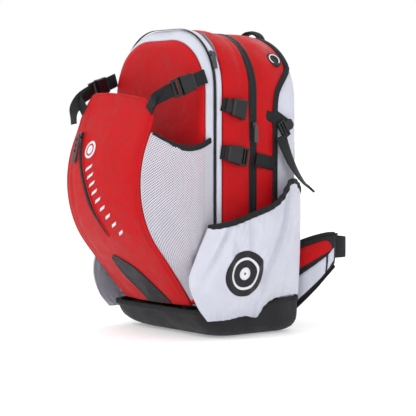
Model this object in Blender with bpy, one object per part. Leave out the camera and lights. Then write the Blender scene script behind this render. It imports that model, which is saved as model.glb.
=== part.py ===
"""Ski backpack, as an assembly of separate solids. Standalone Blender 4.5 script, in metres, +Z up.

The wearer's back is at +Y and the front carrier panel faces -Y. The origin is on the floor, in the middle
of the flat base. The pack opens in layers, each about its bottom edge: the front half leaves the main
compartment at the main zip, the front lid leaves the front compartment at the front zip, and the carrier
panel tilts away from the lid. Everything that exists on both sides is made by a loop over SIDES.
"""

import math

import bpy
import bmesh
from mathutils import Matrix, Vector

SIDES = (("left", -1), ("right", 1))
GAP = 0.0004  # between pieces that touch
CORNER_STEPS = 6  # straight edges in each rounded corner

# Driving dimensions of the packed bag
WALL = 0.003
TRAY_RIM = 0.050  # top of the stiff base tray
TRAY_RIM_LINE = ((-0.2, TRAY_RIM), (0.002, TRAY_RIM), (0.050, 0.064), (0.2, 0.064))  # y, z
FRONT_BOTTOM = 0.056  # underside of everything that swings forward
HINGE_Y = -0.124  # bottom front edge that the layers open about
HINGE_Z = 0.053
MAIN_ZIP_Y = -0.012
FRONT_ZIP_Y = -0.090
BAND_REAR_Y = -0.077
BINDING_Y = 0.040
BACK_Y = 0.095

# Sections of the body from front to back: y, half width, bottom, top, top corner radius
LID_FACE = (-0.118, 0.118, FRONT_BOTTOM + 0.010, 0.508, 0.090)
LID_EDGE = (-0.109, 0.132, FRONT_BOTTOM + 0.003, 0.522, 0.098)
FRONT_ZIP = (FRONT_ZIP_Y, 0.137, FRONT_BOTTOM, 0.541, 0.105)
BAND_REAR = (BAND_REAR_Y, 0.138, FRONT_BOTTOM, 0.540, 0.105)
MAIN_ZIP = (MAIN_ZIP_Y, 0.141, FRONT_BOTTOM, 0.535, 0.108)
REAR_BOTTOM = 0.006
BINDING = (BINDING_Y, 0.141, REAR_BOTTOM, 0.534, 0.112)
BACK_EDGE = (0.087, 0.138, 0.010, 0.530, 0.120)
BACK_FACE = (BACK_Y, 0.130, 0.018, 0.523, 0.114)
# Where the red gusset ends and the white back begins: straight up the side, then back over the top
BINDING_LINE = ((0.0, BINDING_Y), (0.410, 0.040), (0.429, 0.043), (0.448, 0.054), (0.464, 0.068),
                (0.484, 0.0848))
BOTTOM_RADIUS = 0.035

# The carrier panel's middle line: straight, then an arc about ARC_Y, ARC_Z, then straight again
ARC_Y = -0.065
ARC_Z = 0.271
ARC_RADIUS = 0.183
ARC_LOW_Z = 0.170
ARC_HIGH_Z = 0.360
PANEL_BOTTOM_Z = 0.060
PANEL_BOTTOM_Y = -0.1265
PANEL_TOP_Z = 0.422
PANEL_TOP_Y = -0.205
PANEL_HALF = 0.110
PANEL_THICK = 0.005
PANEL_SETBACK = 0.012  # how far its sides stand back from its middle line

LOWER_SLOPE = 0.185  # fall of the lower compression strap, along the arc that the front half opens on

WEBBING = 0.025  # webbing width
WEBBING_THICK = 0.0018


# ---------------------------------------------------------------- helpers

def clear_scene():
    for obj in list(bpy.data.objects):
        bpy.data.objects.remove(obj)


def material(name, colour, roughness, metallic=0.0):
    made = bpy.data.materials.new(name)
    made.use_nodes = True
    made.diffuse_color = (*colour, 1.0)
    shader = made.node_tree.nodes["Principled BSDF"]
    shader.inputs["Base Color"].default_value = (*colour, 1.0)
    shader.inputs["Roughness"].default_value = roughness
    shader.inputs["Metallic"].default_value = metallic
    return made


def pivot(name, point, parent=None):
    """An empty on a joint's axis. What moves with the joint is parented to it."""
    empty = bpy.data.objects.new(name, None)
    bpy.context.collection.objects.link(empty)
    empty["place"] = point
    if parent is not None:
        empty.parent = parent
        point = Vector(point) - Vector(parent["place"])
    empty.location = point
    return empty


def solid(name, points, faces, look, parent=None):
    """A closed mesh object given in world coordinates, with its origin on its parent's joint."""
    origin = Vector(parent["place"]) if parent is not None else Vector()
    mesh = bpy.data.meshes.new(name)
    mesh.from_pydata([Vector(p) - origin for p in points], [], faces)
    bm = bmesh.new()
    bm.from_mesh(mesh)
    bmesh.ops.remove_doubles(bm, verts=bm.verts, dist=1e-6)
    bmesh.ops.recalc_face_normals(bm, faces=bm.faces)
    if bm.calc_volume(signed=True) < 0:
        bmesh.ops.reverse_faces(bm, faces=bm.faces)
    bm.to_mesh(mesh)
    bm.free()
    mesh.materials.append(look)
    mesh.shade_smooth()
    mesh.set_sharp_from_angle(angle=math.radians(35))
    obj = bpy.data.objects.new(name, mesh)
    obj.parent = parent
    bpy.context.collection.objects.link(obj)
    return obj


def loft(name, rings, look, parent=None, wrap=False):
    """Joins closed rings of equal length. The ends are capped, or joined to each other when wrap is true."""
    count = len(rings[0])
    points = [p for ring in rings for p in ring]
    faces = []
    for k in range(len(rings) if wrap else len(rings) - 1):
        a = k * count
        b = (k + 1) % len(rings) * count
        for i in range(count):
            j = (i + 1) % count
            faces.append((a + i, a + j, b + j, b + i))
    if not wrap:
        faces.append(tuple(range(count)))
        faces.append(tuple(reversed(range(len(points) - count, len(points)))))
    return solid(name, points, faces, look, parent)


def body_outline(section, inset=0.0):
    """A loop round the pack in a plane across Y: small bottom corners and a broad arch on top."""
    y, half, bottom, top, top_radius = section
    half, bottom, top = half - inset, bottom + inset, top - inset
    low, high = BOTTOM_RADIUS - inset, top_radius - inset
    corners = (
        (half - low, bottom + low, low, -90),
        (half - high, top - high, high, 0),
        (high - half, top - high, high, 90),
        (low - half, bottom + low, low, 180),
    )
    loop = []
    for x, z, radius, start in corners:
        for step in range(CORNER_STEPS + 1):
            angle = math.radians(start + 90 * step / CORNER_STEPS)
            loop.append((x + radius * math.cos(angle), y, z + radius * math.sin(angle)))
    return loop


def moved(section, y):
    return (y, *section[1:])


def section_between(a, b, y):
    """The section at y on the straight surface from section a to section b."""
    share = (y - a[0]) / (b[0] - a[0])
    return tuple(blend(u, v, share) for u, v in zip(a, b))


def binding_outline(shift, inset=0.0):
    """A loop along the binding line, where y depends on the height."""
    loop = []
    for index, (x, y, z) in enumerate(body_outline(BINDING, inset)):
        y = through(BINDING_LINE, z) + shift
        loop.append(body_outline(section_between(BINDING, BACK_EDGE, y), inset)[index])
    return loop


def tunnel(name, sections, look, parent=None):
    """A band of cloth round the pack, open at the front and at the back."""
    outer = [body_outline(s) for s in sections]
    inner = [body_outline(s, WALL) for s in reversed(sections)]
    return loft(name, outer + inner, look, parent, wrap=True)


def plan_outline(z, half, front, back, radius, back_radius=None):
    """A loop in a plane across Z: a rectangle with rounded corners."""
    rear = back_radius or radius
    corners = (
        (half - radius, front + radius, radius, -90),
        (half - rear, back - rear, rear, 0),
        (rear - half, back - rear, rear, 90),
        (radius - half, front + radius, radius, 180),
    )
    loop = []
    for x, y, radius, start in corners:
        for step in range(CORNER_STEPS + 1):
            angle = math.radians(start + 90 * step / CORNER_STEPS)
            loop.append((x + radius * math.cos(angle), y + radius * math.sin(angle), z))
    return loop


def blend(a, b, t):
    return a + (b - a) * t


def through(points, z):
    """The value at z of a line through (z, value) points."""
    for (z0, a), (z1, b) in zip(points, points[1:]):
        if z <= z1:
            return blend(a, b, (z - z0) / (z1 - z0))
    return points[-1][1]


def ribbon(name, path, across, width, thick, look, parent=None):
    """A flat strip along path. across is the direction of its width, one for all or one for each point."""
    path = [Vector(p) for p in path]
    sides = [Vector(a).normalized() for a in across] if isinstance(across, list) else None
    rings = []
    for k, point in enumerate(path):
        ahead = (path[min(k + 1, len(path) - 1)] - path[max(k - 1, 0)]).normalized()
        side = sides[k] if sides else Vector(across).normalized()
        side = (side - side.dot(ahead) * ahead).normalized()
        up = ahead.cross(side)
        half = width[k] / 2 if isinstance(width, list) else width / 2
        corners = ((half, thick / 2), (-half, thick / 2), (-half, -thick / 2), (half, -thick / 2))
        rings.append([point + side * a + up * b for a, b in corners])
    return loft(name, rings, look, parent)


def panel(name, front_rows, back_rows, look, parent=None):
    """A sheet with thickness, from rows of points on its two faces."""
    rings = [list(front) + list(reversed(back)) for front, back in zip(front_rows, back_rows)]
    return loft(name, rings, look, parent)


class Place:
    """A small part's own directions: u along it, v across it, w out of it."""

    def __init__(self, origin, along, across):
        self.origin = Vector(origin)
        self.u = Vector(along).normalized()
        side = Vector(across)
        self.v = (side - side.dot(self.u) * self.u).normalized()
        self.w = self.u.cross(self.v)

    def at(self, u, v=0.0, w=0.0):
        return self.origin + self.u * u + self.v * v + self.w * w

    def ring(self, u, half_v, half_w, cut=0.0):
        """A rectangle across u, its corners cut by cut."""
        flat, tall = half_v - cut, half_w - cut
        if cut <= 0:
            corners = ((half_v, half_w), (-half_v, half_w), (-half_v, -half_w), (half_v, -half_w))
        else:
            corners = (
                (half_v, tall), (flat, half_w), (-flat, half_w), (-half_v, tall),
                (-half_v, -tall), (-flat, -half_w), (flat, -half_w), (half_v, -tall),
            )
        return [self.at(u, v, w) for v, w in corners]


def cut_slots(obj, place, slots, half_v, depth):
    """Cuts slots through a frame along w. slots holds the first and last u of each."""
    for index, (start, end) in enumerate(slots):
        reach = depth / 2 + 0.004
        rings = [place.ring(u, half_v, reach) for u in (start, end)]
        cutter = loft(f"{obj.name}_slot_{index}", rings, obj.data.materials[0], obj.parent)
        cutter.hide_render = True
        cutter.display_type = "WIRE"
        cut = obj.modifiers.new(f"slot {index}", "BOOLEAN")
        cut.operation = "DIFFERENCE"
        cut.object = cutter


# Side release buckle for 25 mm webbing: a socket, and a plug with a ladder for the webbing
SOCKET_LONG = 0.028
SOCKET_WIDE = 0.034
SOCKET_THICK = 0.0095
CAVITY_LONG = 0.019
PLUG_LONG = 0.016
PLUG_WIDE = 0.0205
LADDER_LONG = 0.017


def socket(name, place, look, parent, scale=1.0, tab=0.0):
    """The half that the plug goes into, its closed end at u = 0, with a tab of webbing behind that."""
    wide, thick = SOCKET_WIDE * scale / 2, SOCKET_THICK * scale / 2
    end, deep = SOCKET_LONG * scale, (SOCKET_LONG - CAVITY_LONG) * scale
    skin = 0.0016 * scale
    rings = [
        place.ring(-tab - 0.0012, WEBBING * 0.44, 0.0011, 0.0002),
        place.ring(-0.0006, WEBBING * 0.44, 0.0011, 0.0002),
        place.ring(0.0, wide * 0.80, thick * 0.6, skin),
        place.ring(0.004 * scale, wide * 0.88, thick, skin),
        place.ring(end * 0.5, wide * 0.90, thick, skin),
        place.ring(end, wide, thick, skin),
        place.ring(end, wide - skin, thick - skin, skin * 0.5),
        place.ring(deep, (wide - skin) * 0.86, thick - skin, skin * 0.5),
    ]
    return loft(name, rings, look, parent)


def plug(name, place, look, parent, scale=1.0):
    """The half with the prongs, pointing along -u from u = 0, and its two-slot ladder at positive u."""
    frame_wide = (WEBBING + 0.007) * scale / 2
    half, long = PLUG_WIDE * scale / 2, LADDER_LONG * scale
    rings = [
        place.ring(-PLUG_LONG * scale, half * 0.55, 0.0010 * scale),
        place.ring(-PLUG_LONG * scale * 0.6, half, 0.0014 * scale),
        place.ring(-0.0006, half * 0.9, 0.0014 * scale),
        place.ring(0.0006, frame_wide, 0.0024 * scale),
        place.ring(long, frame_wide, 0.0024 * scale),
    ]
    made = loft(name, rings, look, parent)
    slot = 0.0034 * scale
    bars = [0.0036 * scale, 0.0036 * scale + slot + 0.0026 * scale]
    slots = [(start, start + slot) for start in bars]
    cut_slots(made, place, slots, frame_wide - 0.0030 * scale, 0.005 * scale)
    return made


# ---------------------------------------------------------------- shapes shared by several pieces

def panel_y(z):
    """Front face of the carrier panel on its middle line."""
    low_y = ARC_Y - math.sqrt(ARC_RADIUS**2 - (ARC_LOW_Z - ARC_Z) ** 2)
    high_y = ARC_Y - math.sqrt(ARC_RADIUS**2 - (ARC_HIGH_Z - ARC_Z) ** 2)
    if z < ARC_LOW_Z:
        return blend(PANEL_BOTTOM_Y, low_y, (z - PANEL_BOTTOM_Z) / (ARC_LOW_Z - PANEL_BOTTOM_Z))
    if z > ARC_HIGH_Z:
        return blend(high_y, PANEL_TOP_Y, (z - ARC_HIGH_Z) / (PANEL_TOP_Z - ARC_HIGH_Z))
    return ARC_Y - math.sqrt(ARC_RADIUS**2 - (z - ARC_Z) ** 2)


def panel_point(x, z, lift=0.0):
    """A point on the carrier panel's front face, moved forward by lift."""
    return (x, panel_y(z) + PANEL_SETBACK * (x / PANEL_HALF) ** 2 - lift, z)


def pocket_hem_z(y):
    """Top edge of a side pocket: low at the front, rising to the back seam."""
    edge = ((-0.118, 0.200), (-0.040, 0.224), (0.0, 0.237), (0.024, 0.252), (0.040, 0.272),
            (0.058, 0.272), (0.093, 0.256))
    return through(edge, y)


POCKET_FRONT_X = ((0.034, 0.1500), (0.060, 0.1500), (0.105, 0.1455), (0.150, 0.1490), (0.200, 0.1512))
POCKET_FRONT_Y = ((0.034, -0.118), (0.060, -0.140), (0.105, -0.156), (0.150, -0.142), (0.200, -0.118))
# share of the height
POCKET_BULGE = ((0.0, 0.0008), (0.10, 0.016), (0.35, 0.033), (0.75, 0.040), (1.0, 0.036))
POCKET_BACK = (0.1460, 0.0930)
# share of the length, z
POCKET_FOOT = ((0.0, 0.034), (0.46, 0.036), (0.62, 0.0545), (0.78, 0.0655), (1.0, 0.068))
POCKET_THICK = 0.0028


def pocket_point(along, share, inset=0.0):
    """A point on a side pocket's face. along runs from its front edge to its back, share from foot to hem."""
    y = blend(POCKET_FRONT_Y[-1][1], POCKET_BACK[1], along)
    z = blend(through(POCKET_FOOT, along), pocket_hem_z(y), share)
    y = blend(through(POCKET_FRONT_Y, z), POCKET_BACK[1], along)
    edge = blend(through(POCKET_FRONT_X, z), POCKET_BACK[0], max(0.0, along - 0.8) / 0.2)
    return edge + through(POCKET_BULGE, share) * math.sqrt(max(0.0, math.sin(math.pi * along))) - inset, y, z


# ---------------------------------------------------------------- the fixed rear of the pack

def make_rear(looks):
    start = (MAIN_ZIP_Y + 0.0012, *MAIN_ZIP[1:2], REAR_BOTTOM, *MAIN_ZIP[3:])
    middle = moved(section_between(MAIN_ZIP, BINDING, 0.030), 0.030)
    middle = (middle[0], middle[1], REAR_BOTTOM, *middle[3:])
    outer = [body_outline(start), body_outline(middle), binding_outline(-GAP)]
    inner = [binding_outline(-GAP, WALL), body_outline(middle, WALL), body_outline(start, WALL)]
    loft("rear_gusset", outer + inner, looks["red"], wrap=True)
    outer = [body_outline(BACK_FACE), body_outline(BACK_EDGE), binding_outline(0.0)]
    inner = [binding_outline(0.0, WALL), body_outline(BACK_EDGE, WALL)]
    inner.append(body_outline(moved(BACK_FACE, BACK_Y - WALL), WALL))
    loft("back_shell", outer + inner, looks["white"])
    make_tray(looks)
    make_frame(looks)
    make_pads(looks)
    y, angle = 0.057, math.radians(37.5)
    _, half, _, top, radius = section_between(BINDING, BACK_EDGE, y)
    normal = Vector((math.cos(angle), 0.0, math.sin(angle)))
    spot = Vector((half - radius, y, top - radius)) + normal * radius * math.cos(math.radians(7.5))
    port = Place(spot, normal, (0.0, 1.0, 0.0))
    circles = []
    for out, radius in ((0.0018, 0.0135), (0.0040, 0.0140), (0.0052, 0.0115), (0.0036, 0.0080),
                        (0.0032, 0.0020)):
        turn = [math.radians(360 * step / 20) for step in range(20)]
        circles.append([port.at(out, radius * math.cos(t), radius * math.sin(t)) for t in turn])
    loft("cable_port", circles, looks["rubber"])


def with_stops(loop, stops):
    """Adds points where a loop's long sides cross the given y values."""
    out = []
    for a, b in zip(loop, loop[1:] + loop[:1]):
        out.append(a)
        if abs(b[1] - a[1]) > 0.08:
            for y in sorted(stops, reverse=b[1] < a[1]):
                share = (y - a[1]) / (b[1] - a[1])
                out.append(tuple(blend(u, v, share) for u, v in zip(a, b)))
    return out


def make_tray(looks):
    """The stiff base. Its rim stands higher round the two back corners."""
    shapes = (
        (0.0, 0.114, -0.066, 0.084, 0.034, 0.014),
        (0.007, 0.131, -0.086, 0.0945, 0.036, 0.016),
        (0.022, 0.1440, -0.105, 0.0988, 0.036, 0.016),
        (TRAY_RIM, 0.1465, -0.121, 0.0995, 0.036, 0.016),
        (TRAY_RIM, 0.1430, -0.1175, 0.0963, 0.033, 0.012),
        (0.024, 0.1415, -0.1010, 0.0960, 0.033, 0.012),
        (0.010, 0.128, -0.083, 0.0955, 0.033, 0.013),
        (0.004, 0.112, -0.064, 0.080, 0.030, 0.012),
    )
    rings = []
    for z, *shape in shapes:
        ring = with_stops(plan_outline(z, *shape), (0.002, 0.050))
        if z == TRAY_RIM:
            ring = [(x, y, through(TRAY_RIM_LINE, y)) for x, y, _ in ring]
        rings.append(ring)
    loft("base_tray", rings, looks["black_cloth"])


def make_frame(looks):
    """The stiffener inside the back wall, and the sprung wire hoop sleeved in front of it."""
    inner_back = BACK_Y - WALL - 0.0008
    outline = [(x, z) for x, y, z in body_outline((0.0, 0.108, 0.040, 0.490, 0.070))]
    rings = [[(x, y, z) for x, z in outline] for y in (inner_back - 0.0015, inner_back)]
    loft("frame_sheet", rings, looks["sheet"])
    radius, y = 0.0025, inner_back - 0.0015 - 0.0036
    path = body_outline((y, 0.095, 0.055, 0.470, 0.060))
    middle = Vector((0.0, y, 0.26))
    rings = []
    for point in path:
        out = (Vector(point) - middle).normalized()
        turn = [math.radians(60 * step) for step in range(6)]
        rings.append([Vector(point) + out * radius * math.cos(t) + Vector((0, radius * math.sin(t), 0))
                      for t in turn])
    loft("frame_hoop", rings, looks["alloy"], wrap=True)


def make_pads(looks):
    for side, sign in SIDES:
        rings = []
        for out, shrink in ((0.0, 0.0), (0.008, 0.0), (0.0115, 0.006)):
            loop = plan_outline(0.0, 0.034 - shrink, -0.105 + shrink, 0.105 - shrink, 0.018)
            rings.append([(sign * 0.053 + x, BACK_Y + GAP + out, 0.328 + v) for x, v, z in loop])
        loft(f"back_pad_{side}", rings, looks["mesh_foam"])
    rings = []
    for out, shrink in ((0.0, 0.0), (0.012, 0.0), (0.0165, 0.007)):
        loop = plan_outline(0.0, 0.084 - shrink, -0.064 + shrink, 0.064 - shrink, 0.026)
        rings.append([(x, BACK_Y + GAP + 0.0005 + out, 0.134 + v) for x, v, z in loop])
    loft("lumbar_pad", rings, looks["mesh_foam"])


def make_side(looks, side, sign):
    """A side pocket with its elastic hem, and the zip tape and compression webbing of that side."""
    columns = [0.5 - 0.5 * math.cos(math.pi * k / 14) for k in range(15)]
    front, back = [], []
    for share in (0.0, 0.10, 0.22, 0.38, 0.57, 0.78, 1.0):
        for face, inset in ((front, 0.0), (back, POCKET_THICK)):
            row = [pocket_point(along, share, inset) for along in columns]
            face.append([(sign * x, y, z) for x, y, z in row])
    panel(f"side_pocket_{side}", front, back, looks["white"])
    # The lower compression webbing, sewn in at the back binding.
    # Its front end stops short of the plug's travel
    reach = ((0.1425, 0.0415), (0.1435, 0.034), (0.1464, 0.018), (0.1476, -0.002), (0.1478, -0.0085))
    path = [(sign * x, y, 0.325 - LOWER_SLOPE / 0.983 * (y + 0.078)) for x, y in reach]
    ribbon(f"lower_strap_{side}", path, (0, 0, 1), WEBBING, WEBBING_THICK, looks["webbing"])


def lower_place(sign, u):
    """Where the lower side release buckle lies, u behind its front anchor."""
    at = Place((sign * 0.1484, -0.078, 0.325), (0, 0.983, -LOWER_SLOPE), (0, 0, 1))
    return Place(at.at(u), at.u, at.v)


# ---------------------------------------------------------------- the layers that open forward

def arch_strip(name, section, y, width, lift, thick, start, look, parent=None):
    """A tape over the pack's arch, from start height on one side to the same on the other."""
    loop = body_outline((y, *section[1:]), -lift)
    count = CORNER_STEPS + 1
    arch = loop[count : 3 * count]
    path = [(arch[0][0], y, start), *arch, (arch[-1][0], y, start)]
    return ribbon(name, path, (0, 1, 0), width, thick, look, parent)


def make_front_half(looks, parent):
    """The part between the two zips, and the wall between the two compartments."""
    tunnel("mid_gusset", [moved(BAND_REAR, BAND_REAR_Y + GAP), moved(MAIN_ZIP, MAIN_ZIP_Y - 0.0012)],
           looks["red"], parent)
    tunnel("mid_band", [moved(FRONT_ZIP, FRONT_ZIP_Y + 0.0008), moved(BAND_REAR, BAND_REAR_Y)],
           looks["white"], parent)
    wall = [body_outline(moved(BAND_REAR, y), WALL + GAP)
            for y in (BAND_REAR_Y + 0.001, BAND_REAR_Y + 0.0025)]
    loft("divider_wall", wall, looks["lining"], parent)
    arch_strip("main_zip_front_tape", MAIN_ZIP, MAIN_ZIP_Y - 0.0052, 0.0080, 0.0014, 0.0012, 0.11,
               looks["tape"], parent)
    for side, sign in SIDES:
        socket(f"lower_socket_{side}", lower_place(sign, 0.0050), looks["plastic"], parent, tab=0.003)


def make_lid(looks, parent):
    """The front compartment's lid: a white edge band, and the red front panel sewn into it."""
    sections = [moved(LID_EDGE, LID_EDGE[0]), moved(FRONT_ZIP, FRONT_ZIP_Y - 0.0008)]
    tunnel("lid_band", sections, looks["white"], parent)
    outer = [body_outline(LID_FACE), body_outline(moved(LID_EDGE, LID_EDGE[0] - GAP))]
    inner = [body_outline(moved(LID_EDGE, LID_EDGE[0] - GAP), WALL),
             body_outline(moved(LID_FACE, LID_FACE[0] + WALL), WALL)]
    loft("lid_panel", outer + inner, looks["red"], parent)
    arch_strip("front_zip_tape", FRONT_ZIP, FRONT_ZIP_Y - 0.0035, 0.0042, 0.0009, 0.0010, 0.11,
               looks["tape"], parent)
    for side, sign in SIDES:
        make_carrier_mesh(looks, parent, side, sign)
        place = carrier_place(sign, 0.0)
        path = [place.at(u) for u in (0.003, 0.010, 0.0182)]
        ribbon(f"carrier_strap_{side}", path, place.v, WEBBING, WEBBING_THICK, looks["webbing"], parent)
        socket(f"carrier_socket_{side}", carrier_place(sign, 0.020), looks["plastic"], parent)


def make_carrier_mesh(looks, parent, side, sign):
    """The mesh side of the carrier, from the lid's edge to the carrier panel's edge."""
    front, back = [], []
    for share in (0.0, 0.12, 0.26, 0.42, 0.60, 0.80, 1.0):
        outer, inner = [], []
        for step in range(7):
            s = step / 6
            top = through(((0.0, 0.352), (0.5, 0.338), (1.0, 0.362)), s)
            z = blend(0.064, top, share)
            x_end, y_end, _ = panel_point(PANEL_HALF, z)
            x = blend(0.1392, x_end + 0.0035, s) + 0.020 * math.sin(math.pi * s) * min(1.0, share * 2.5)
            y = blend(-0.1000, y_end + 0.004, s)
            outer.append((sign * x, y, z))
            inner.append((sign * (x - 0.0018), y, z))
        front.append(outer)
        back.append(inner)
    panel(f"carrier_mesh_{side}", front, back, looks["white_mesh"], parent)


def carrier_place(sign, u):
    """Where the carrier's upper strap lies, u along it from the lid's seam to the panel's corner."""
    start, end = Vector((sign * 0.1345, -0.113, 0.455)), Vector((sign * 0.1210, -0.198, 0.423))
    at = Place(start, end - start, (0, 0, 1))
    return Place(at.at(u), at.u, at.v)


def make_carrier_panel(looks, parent):
    columns = [blend(-1.0, 1.0, k / 10) for k in range(11)]
    front, back = [], []
    for share in [k / 16 for k in range(17)]:
        z = blend(PANEL_BOTTOM_Z, PANEL_TOP_Z, share)
        half = through(((PANEL_BOTTOM_Z, 0.100), (0.14, PANEL_HALF), (0.395, PANEL_HALF),
                        (PANEL_TOP_Z, 0.082)), z)
        front.append([panel_point(half * c, z) for c in columns])
        back.append([panel_point(half * c, z, -PANEL_THICK) for c in columns])
    panel("carrier_panel", front, back, looks["red"], parent)


# The carrier zip lies in one plane, tilted in the panel, so its slider turns about one axis
ZIP_TOP = (-0.0765, 0.360)  # x, z
ZIP_LOW = (0.008, 0.178)
ZIP_CENTRE = (-0.0328, -0.0422, 0.2662)
ZIP_TILT = math.atan2(ZIP_LOW[0] - ZIP_TOP[0], ZIP_TOP[1] - ZIP_LOW[1])


def zip_point(share, lift):
    x, z = blend(ZIP_TOP[0], ZIP_LOW[0], share), blend(ZIP_TOP[1], ZIP_LOW[1], share)
    return panel_point(x, z, lift)


def make_carrier_zip(looks, panel_pivot):
    path = [Vector(zip_point(k / 18, 0.0018)) for k in range(19)]
    step = 0.002
    across = [Vector(panel_point(p.x + step * math.cos(ZIP_TILT), p.z + step * math.sin(ZIP_TILT), 0.0018)) - p
              for p in path]
    widths = [0.0105 * min(1.0, (18 - k) / 8 + 0.2) for k in range(19)]
    ribbon("carrier_zip_tape", path, across, widths, 0.0013, looks["tape"], panel_pivot)


# ---------------------------------------------------------------- sliders, pullers and the handle

def make_slider(name, place, look, parent):
    """A zip slider: its length along u, standing out along w."""
    rings = [place.ring(-0.0050, 0.0026, 0.0016), place.ring(-0.0020, 0.0042, 0.0022),
             place.ring(0.0030, 0.0042, 0.0022), place.ring(0.0052, 0.0026, 0.0016)]
    return loft(name, rings, look, parent)


def make_puller(name, place, length, width, look, parent, holes=0):
    """A moulded pull tab, starting at u = 0."""
    rings = [place.ring(0.0, width * 0.28, 0.0010), place.ring(length * 0.12, width * 0.42, 0.0013),
             place.ring(length * 0.75, width * 0.50, 0.0016), place.ring(length, width * 0.46, 0.0016)]
    made = loft(name, rings, look, parent)
    if holes:
        pitch = length * 0.19
        slots = [(length * 0.16 + pitch * k, length * 0.16 + pitch * k + pitch * 0.55) for k in range(holes)]
        cut_slots(made, place, slots, width * 0.22, 0.004)
    return made


def make_handle(looks):
    foot = (0.0, 0.1025, 0.496)
    handle = pivot("pivot_grab_handle", foot)
    half = [(-0.034, 0.494), (-0.0335, 0.509), (-0.028, 0.523), (-0.016, 0.5315), (0.0, 0.534)]
    path = [(x, foot[1], z) for x, z in half] + [(-x, foot[1], z) for x, z in reversed(half[:-1])]
    ribbon("grab_handle", path, (0, 1, 0), 0.014, 0.005, looks["webbing"], handle)


# ---------------------------------------------------------------- what carries the pack

SHOULDER_PATH = ((0.044, 0.1130, 0.478), (0.047, 0.1165, 0.455), (0.052, 0.1225, 0.420),
                 (0.057, 0.1255, 0.375),
                 (0.063, 0.1255, 0.325), (0.070, 0.1225, 0.280), (0.076, 0.1190, 0.248))


def pad_ring(centre, side, out, half_width, half_thick):
    """An eight-sided padded section."""
    corners = ((1.0, 0.0), (0.82, 1.0), (0.0, 1.1), (-0.82, 1.0), (-1.0, 0.0), (-0.82, -1.0), (0.0, -1.1),
               (0.82, -1.0))
    return [centre + side * half_width * a + out * half_thick * b for a, b in corners]


def make_shoulder(looks, side, sign):
    top = (0.0, SHOULDER_PATH[0][1], SHOULDER_PATH[0][2])
    strap = pivot(f"pivot_shoulder_{side}", top)
    points = [Vector((sign * x, y, z)) for x, y, z in SHOULDER_PATH]
    rings = []
    for k, point in enumerate(points):
        ahead = (points[min(k + 1, len(points) - 1)] - points[max(k - 1, 0)]).normalized()
        across = (Vector((1, 0, 0)) - ahead.x * ahead).normalized()
        half = through(((0, 0.027), (2, 0.031), (4, 0.029), (6, 0.021)), k)
        rings.append(pad_ring(point, across, ahead.cross(across), half, 0.0052))
    loft(f"shoulder_strap_{side}", rings, looks["mesh_foam"], strap)
    chest = pivot(f"pivot_sternum_{side}", (sign * 0.052, 0.1345, 0.420), strap)
    if sign > 0:
        plug(f"sternum_plug_{side}", Place((0.026, 0.1365, 0.420), (1, 0, 0), (0, 0, 1)),
             looks["plastic"], chest, 0.8)
    else:
        place = Place((-0.036, 0.1365, 0.420), (1, 0, 0), (0, 0, 1))
        socket(f"sternum_socket_{side}", place, looks["plastic"], chest, 0.8)
    path = [(sign * 0.074, 0.1345, 0.420), (sign * 0.058, 0.1350, 0.420), (sign * 0.0405, 0.1362, 0.420)]
    ribbon(f"sternum_webbing_{side}", path, (0, 0, 1), 0.019, 0.0014, looks["webbing"], chest)
    return strap


WING_PATH = ((0.0955, 0.1075, 0.088), (0.1130, 0.1115, 0.096), (0.1310, 0.1220, 0.110),
             (0.1450, 0.1370, 0.124), (0.1535, 0.1540, 0.137), (0.1565, 0.1720, 0.146))
WING_HEIGHT = (0.128, 0.122, 0.112, 0.098, 0.080, 0.060)


def make_wing(looks, side, sign):
    """A hip belt wing, and the webbing and buckle half on its end."""
    root = pivot(f"pivot_wing_{side}", (sign * 0.0925, 0.1040, 0.088))
    points = [Vector((sign * x, y, z)) for x, y, z in WING_PATH]
    rings = []
    for k, point in enumerate(points):
        ahead = points[min(k + 1, len(points) - 1)] - points[max(k - 1, 0)]
        out = Vector((ahead.y, -ahead.x, 0)).normalized()
        rings.append(pad_ring(point, Vector((0, 0, 1)), out, WING_HEIGHT[k] / 2, 0.0060))
    loft(f"belt_wing_{side}", rings, looks["white"], root)
    tip = pivot(f"pivot_belt_end_{side}", (sign * 0.1567, 0.1745, 0.149), root)
    path = [(sign * x, y, z) for x, y, z in (
        (0.1567, 0.1750, 0.149), (0.1566, 0.1910, 0.149), (0.1530, 0.2010, 0.149),
        (0.1430, 0.2065, 0.149), (0.1245, 0.2080, 0.149))]
    ribbon(f"belt_webbing_{side}", path, (0, 0, 1), 0.038, 0.0020, looks["webbing"], tip)
    place = Place((sign * 0.1230, 0.2080, 0.149), (-sign, 0, 0), (0, 0, 1))
    if sign > 0:
        back = Place(place.at(0.026), -place.u, place.v)
        plug(f"belt_plug_{side}", back, looks["plastic"], tip, 1.45)
    else:
        socket(f"belt_socket_{side}", place, looks["plastic"], tip, 1.45)


# ---------------------------------------------------------------- side straps that hang from a seam

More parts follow.
